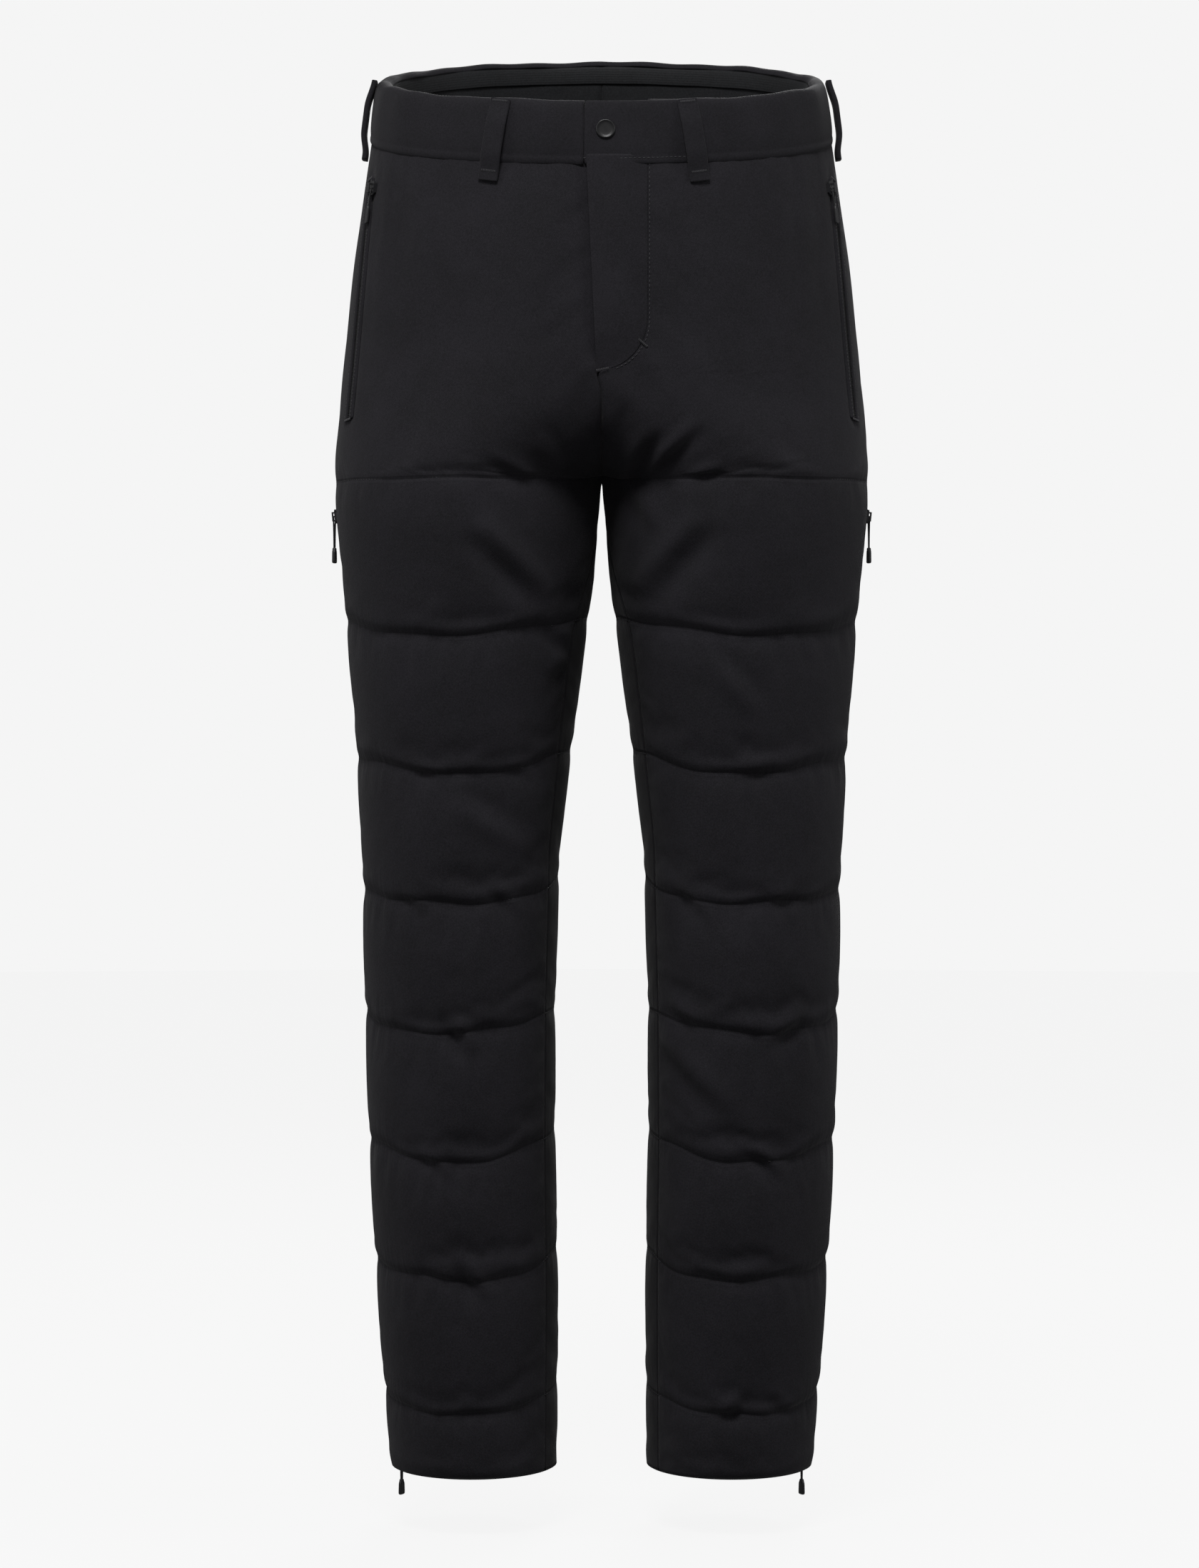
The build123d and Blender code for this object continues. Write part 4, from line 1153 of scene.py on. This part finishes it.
# %% Pull cords and grips
def pull_frame(centre, outward, sign, z_top, lean):
    """Puts a point of a pull in place: across it, at a height, and out from the cloth."""
    out = Vector((outward[0] * sign, outward[1], 0)).normalized()
    across = Vector((-out.y, out.x, 0))
    at = Vector((centre[0] * sign, centre[1], 0))
    tilt = Vector((lean[0] * sign, lean[1], 0))

    def place(u, z, n):
        return tuple(at + tilt * (z_top - z) + across * (u * MM) + out * (n * MM) + Vector((0, 0, z)))

    return place


def doubled_cord(name, place, z_top, z_end, radius=0.65):
    """Two strands that meet in a round bend at the slider. A NURBS curve keeps the bend round."""
    curve = bpy.data.curves.new(name, "CURVE")
    curve.dimensions = "3D"
    curve.bevel_depth, curve.bevel_resolution = radius * MM, 3
    curve.use_fill_caps = True
    spline = curve.splines.new("NURBS")
    drop = z_top - z_end
    route = [(-0.75, 1), (-0.9, 0.7), (-1.8, 0.3), (-2.5, 0.06), (-2.5, 0.0), (2.5, 0.0), (2.5, 0.06),
             (1.8, 0.3), (0.9, 0.7), (0.75, 1)]
    spline.points.add(len(route) - 1)
    for point, (u, share) in zip(spline.points, route):
        point.co = (*place(u, z_top - drop * share, 0.12 * (1 if u > 0 else -1)), 1)
    spline.order_u, spline.use_endpoint_u, spline.resolution_u = 3, True, 8
    mesh = evaluated_mesh(placed(name + "_curve", curve))
    mesh.name = name
    mesh.materials.clear()
    mesh.materials.append(pull_braid)
    return placed(name, mesh)


def grip(name, place, z_top, length, top_width, end_width, thickness):
    """Outlines stacked from back to front, each a little smaller or larger than the last."""
    half = length / 2
    shares = np.array([0, 0.10, 0.17, 0.22, 0.45, 0.75, 0.92, 0.985, 1.0])
    taper = top_width + (end_width - top_width) * shares
    widths = np.array([0.55, 0.62, 0.66, 1, 1, 1, 0.99, 0.86, 0.5]) * taper / 2
    right = [(w, half - length * s) for w, s in zip(widths, shares)]
    outline = np.array(right + [(-w, v) for w, v in right[::-1]])
    rings = []
    t = thickness / 2
    levels = [(1.6, -t + 0.35), (1.1, -t), (0.45, -t), (0, -t + 0.5), (0, t - 0.5), (0.45, t), (0.95, t),
              (1.35, t - 0.5), (1.8, t - 0.55)]
    for inset, level in levels:
        shrink = np.array([max(0.12, 1 - inset / (end_width / 2)), max(0.3, 1 - inset / half)])
        rings.append([place(u, z_top - half * MM + v * MM, level) for u, v in outline * shrink])
    made = closed_strip(name, rings, tab_rubber)
    soften(made, 2)
    return made


def whole_pull(name, body, stands_for, centre, outward, z_top, z_cord, z_end, sign, sizes, lean=(0, 0)):
    """Strands and grip. Sizes are the grip's two widths and thickness, and the strands' radius."""
    place = pull_frame(centre, outward, sign, z_top, lean)
    cord = doubled_cord(name + "_strands", place, z_top, z_cord - 0.8 * MM, *sizes[3:])
    hold = grip(name + "_grip", place, z_cord, (z_cord - z_end) / MM, *sizes[:3])
    for piece, node, slot in zip((cord, hold), stands_for, ("pull_cord", "pull_rubber")):
        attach(piece, body)
        if node:
            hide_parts(node)


UNDER_BRIDGE = 0.7 * MM  # the cord's bend passes at the pivot, just under the top of its box
for side, sign in SIDES:
    for end, outward in (("top", (0.9775, 0.1955)), ("bottom", (0.8886, 0.4558))):
        low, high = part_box(f"side_zip_{end}_cord_left")
        tab_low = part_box(f"side_zip_{end}_tab_left")[0]
        centre = ((low[0] + high[0]) / 2, (low[1] + high[1]) / 2)
        whole_pull(f"side_zip_{end}_pull_{side}", f"side_{end}_pull_{side}",
                   (f"side_zip_{end}_cord_{side}", f"side_zip_{end}_tab_{side}"), centre, outward,
                   high[2] - UNDER_BRIDGE, low[2], tab_low[2], sign, (5.3, 6.8, 2.7))
    low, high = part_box("pocket_zip_pull_left")
    whole_pull(f"pocket_zip_pull_{side}", f"pocket_pull_{side}", (None, f"pocket_zip_pull_{side}"),
               (0.1780, -0.0383), (0.8588, -0.5009),
               high[2] - UNDER_BRIDGE, high[2] - 12.5 * MM, low[2] + 0.3 * MM, sign,
               (3.4, 3.9, 2.3, 0.55), lean=(0.1065, -0.0321))
print("pulls made")

# %% [markdown]
# ## Stitching
# Rows of stitches hold everything: along the waistband, down the fly's J, in every quilting groove and
# beside the zips, with short dense bars where a seam takes load. All are beads along a line, a few
# tenths of a millimetre above the cloth they sew.

# %% Seam lines
stitch = dict(pitch=3.4 * MM, along_size=2.6 * MM, across=0.55 * MM, height=0.45 * MM, finish=thread_black)


quilt_lines = [(p["final"][q] + p["out"][q] * (0.15 * MM), p["out"][q])
               for p in panels.values() for q in p["quilting"]]
band_line = waist_point(main_turns, 3.2 * MM, 0.75 * MM)
band_out = band_line - waist_point(main_turns, 3.2 * MM, -9 * MM)
seam_pieces = {
    "quilting_stitches": (quilt_lines, stitch),
    "waistband_stitches": ([(band_line, band_out)], stitch),
    "zip_edge_stitches": (lip_lines, dict(stitch, pitch=2.8 * MM, along_size=2.1 * MM)),
}
j_bend = FLY_FOOT_Z + (J_BEND_Z - FLY_FOOT_Z) * np.cos(np.linspace(0, 1.5, 24))[1:]
j_z = np.concatenate([np.linspace(flap_z[0], J_BEND_Z, 50), j_bend])
j_line = on_front(fly_stitch_x(j_z) + 1.6 * MM, j_z - np.where(j_z < -0.2045, 1.0 * MM, 0), 0.45 * MM)
seam_pieces["fly_stitches"] = ([(j_line, np.tile((0, -1, 0.03), (len(j_line), 1)))], stitch)
for name, (lines, settings) in seam_pieces.items():
    made = bead_line(name, lines, **settings)
    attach(made, "garment")
    print(name, len(made.data.polygons), "faces")
tab_turns = np.linspace(waist_turn(-0.0125), waist_turn(0.064), 30)
tab_line = waist_point(tab_turns, 3.0 * MM, 1.75 * MM)
tab_out = tab_line - waist_point(tab_turns, 3.0 * MM, -9 * MM)
tab_stitches = bead_line("tab_stitches", [(tab_line, tab_out)], **stitch)
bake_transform(tab_stitches)

# %% Bars of dense stitches
def bar(centre, along_dir, outward, length):
    ends = np.linspace(-length / 2, length / 2, 12)[:, None] * np.asarray(along_dir)[None]
    return np.asarray(centre) + ends, np.tile(outward, (12, 1))


bars = []
for line, outward in loop_lines:
    side_ways, out = line_frames(line, outward)
    for row in (2, -5):
        bars.append(bar(line[row] + out[row] * 2.45 * MM, side_ways[row], out[row], 11 * MM))
foot = on_front(0.0005, -0.2418, 1.9 * MM)
bars.append(bar(foot, (0.98, 0, 0.2), (0, -1, 0), 9 * MM))
bend = on_front(float(fly_stitch_x(np.array(-0.222))) + 1 * MM, -0.222, 1.0 * MM)
bars.append(bar(bend, (0.75, 0, -0.66), (0, -1, 0), 8 * MM))
zip_ends = [(pocket_path, pocket_out, 0), (pocket_path, pocket_out, -1), (side_path, side_out, 0)]
for _, sign in SIDES:
    for path, out, row in zip_ends:
        side_ways, _ = line_frames(path, out)
        centre, across, outward = (mirror(v[row], sign) for v in (path + out * 1.0 * MM, side_ways, out))
        bars.append(bar(centre, across, outward, 11 * MM))
bartacks = bead_line("bartacks", bars, 0.75 * MM, 0.6 * MM, 2.3 * MM, 0.7 * MM, thread_black)
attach(bartacks, "garment")
print("bars:", len(bars))

# %% [markdown]
# ## Hard parts from the frame
# The sliders, the snap and the fly's zip are right as they were measured, so they keep their shape and
# only get a finish. The bags and flaps that hide inside get their own cloth too.

# %% Finishes for the frame's own pieces
FINISHES = {
    "slider": zip_metal, "fly_zip_pull": zip_metal, "snap_cap": snap_black, "snap": snap_steel,
    "coil": coil_nylon, "tape": tape_cloth, "cord": pull_braid, "tab": tab_rubber, "pocket_bag": fill_cloth,
    "storm_flap": plain_cloth, "padding": fill_cloth, "lining": lining_cloth, "facing": facing_cloth,
    "pull": tab_rubber, "band": plain_cloth, "loops": plain_cloth, "panel": plain_cloth, "fly": plain_cloth,
}
for name, node in nodes.items():
    finish = next(made for word, made in FINISHES.items() if word in name)
    if not node.data.materials:
        node.data.materials.append(finish)
    for place in node.material_slots:
        place.material = finish
print("finished", len(nodes), "frame pieces")

# %% [markdown]
# ## The snap's cap
# The cap is a pressed disc with a rolled rim and a flat, slightly dished face. A profile turned round
# the snap's own axis gives it, and it opens with the fly.

# %% Snap cap
SNAP_AT, SNAP_OUT = Vector((0.0028, -0.1165, -0.062)), Vector((0, -0.998, 0.0636)).normalized()
SNAP_PROFILE = [(0.4, 3.3), (3.2, 3.3), (5.4, 3.35), (5.9, 3.7), (6.5, 3.95), (7.1, 3.75), (7.5, 3.1),
                (7.4, 2.2), (6.6, 1.9), (0.4, 1.9)]  # radius, and height along the axis, millimetres
snap_side = Vector((1, 0, 0))
snap_up = SNAP_OUT.cross(snap_side)
rings = [
    [tuple(SNAP_AT + (snap_side * math.cos(t) + snap_up * math.sin(t)) * r * MM + SNAP_OUT * n * MM)
     for t in np.linspace(0, 2 * math.pi, 40, endpoint=False)]
    for r, n in SNAP_PROFILE
]
cap = closed_strip("snap_cap_dished", rings, snap_black)
soften(cap)
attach(cap, "fly_closure")
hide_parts("snap_cap")

# %% [markdown]
# ## Camera, light and floor
# The camera looks level at the front. Light comes from a large soft box above and in front, one above
# and behind, and a weaker one on each side to draw the edges. The backdrop that the camera sees is
# brighter than the surround that lights the cloth, so black cloth stays black in front of a white
# studio. The floor glows like the backdrop and lies just under the hems.

# %% Camera
CAMERA_Z = -0.5517
camera_data = bpy.data.cameras.new("camera")
camera_data.sensor_fit = "VERTICAL"
camera_data.sensor_height = 36.0
camera_data.lens = 88.48
camera = placed("camera", camera_data)
camera.location = (-0.0017, -3.0, CAMERA_Z)
camera.rotation_euler = (math.pi / 2, 0, 0)
bpy.context.scene.camera = camera
bpy.context.scene.view_settings.view_transform = "Standard"

# %% Studio
BACKDROP = 0.913  # what the camera sees
SURROUND = 0.17  # what lights the cloth
world = bpy.data.worlds.new("studio")
world.use_nodes = True
sky = world.node_tree
seen = sky.nodes["Background"]
seen.inputs["Color"].default_value = (BACKDROP, BACKDROP, BACKDROP, 1)
lit = sky.nodes.new("ShaderNodeBackground")
lit.inputs["Color"].default_value = (1, 1, 1, 1)
lit.inputs["Strength"].default_value = SURROUND
path, choose = sky.nodes.new("ShaderNodeLightPath"), sky.nodes.new("ShaderNodeMixShader")
sky.links.new(path.outputs["Is Camera Ray"], choose.inputs[0])
sky.links.new(lit.outputs[0], choose.inputs[1])
sky.links.new(seen.outputs[0], choose.inputs[2])
sky.links.new(choose.outputs[0], sky.nodes["World Output"].inputs["Surface"])
bpy.context.scene.world = world


def soft_box(name, place, target, size, watts):
    data = bpy.data.lights.new(name, "AREA")
    data.shape = "RECTANGLE"
    data.size, data.size_y = size
    data.energy = watts
    light = placed(name, data)
    light.location = place
    light.rotation_euler = (Vector(target) - Vector(place)).to_track_quat("-Z", "Y").to_euler()


soft_box("top_front", (-0.3, -1.8, 1.9), (0, 0, -0.45), (1.1, 0.8), 53)
soft_box("top_back", (0.5, 2.2, 1.3), (0, 0, -0.5), (1.3, 1.0), 34)
soft_box("left_edge", (-2.3, -0.6, 0.4), (0, 0, -0.5), (0.8, 1.8), 12)
soft_box("right_edge", (2.3, -0.6, 0.4), (0, 0, -0.5), (0.8, 1.8), 12)

# %% Floor
FLOOR_Z, FLOOR_RADIUS = -1.128, 9
floor_mesh = bpy.data.meshes.new("floor")
rim_turns = np.linspace(0, 2 * math.pi, 64, endpoint=False)
rim = [(FLOOR_RADIUS * math.cos(t), FLOOR_RADIUS * math.sin(t), FLOOR_Z) for t in rim_turns]
floor_mesh.from_pydata(rim, [], [list(range(len(rim)))])
floor = placed("floor", floor_mesh)
floor_finish, tree, shader = start_material("pale_floor", 0.9, specular=0.0)
shader.inputs["Base Color"].default_value = (0.05, 0.05, 0.05, 1)
shader.inputs["Emission Color"].default_value = (1, 1, 1, 1)
shader.inputs["Emission Strength"].default_value = 0.89
floor_mesh.materials.append(floor_finish)
floor.visible_diffuse = floor.visible_glossy = False
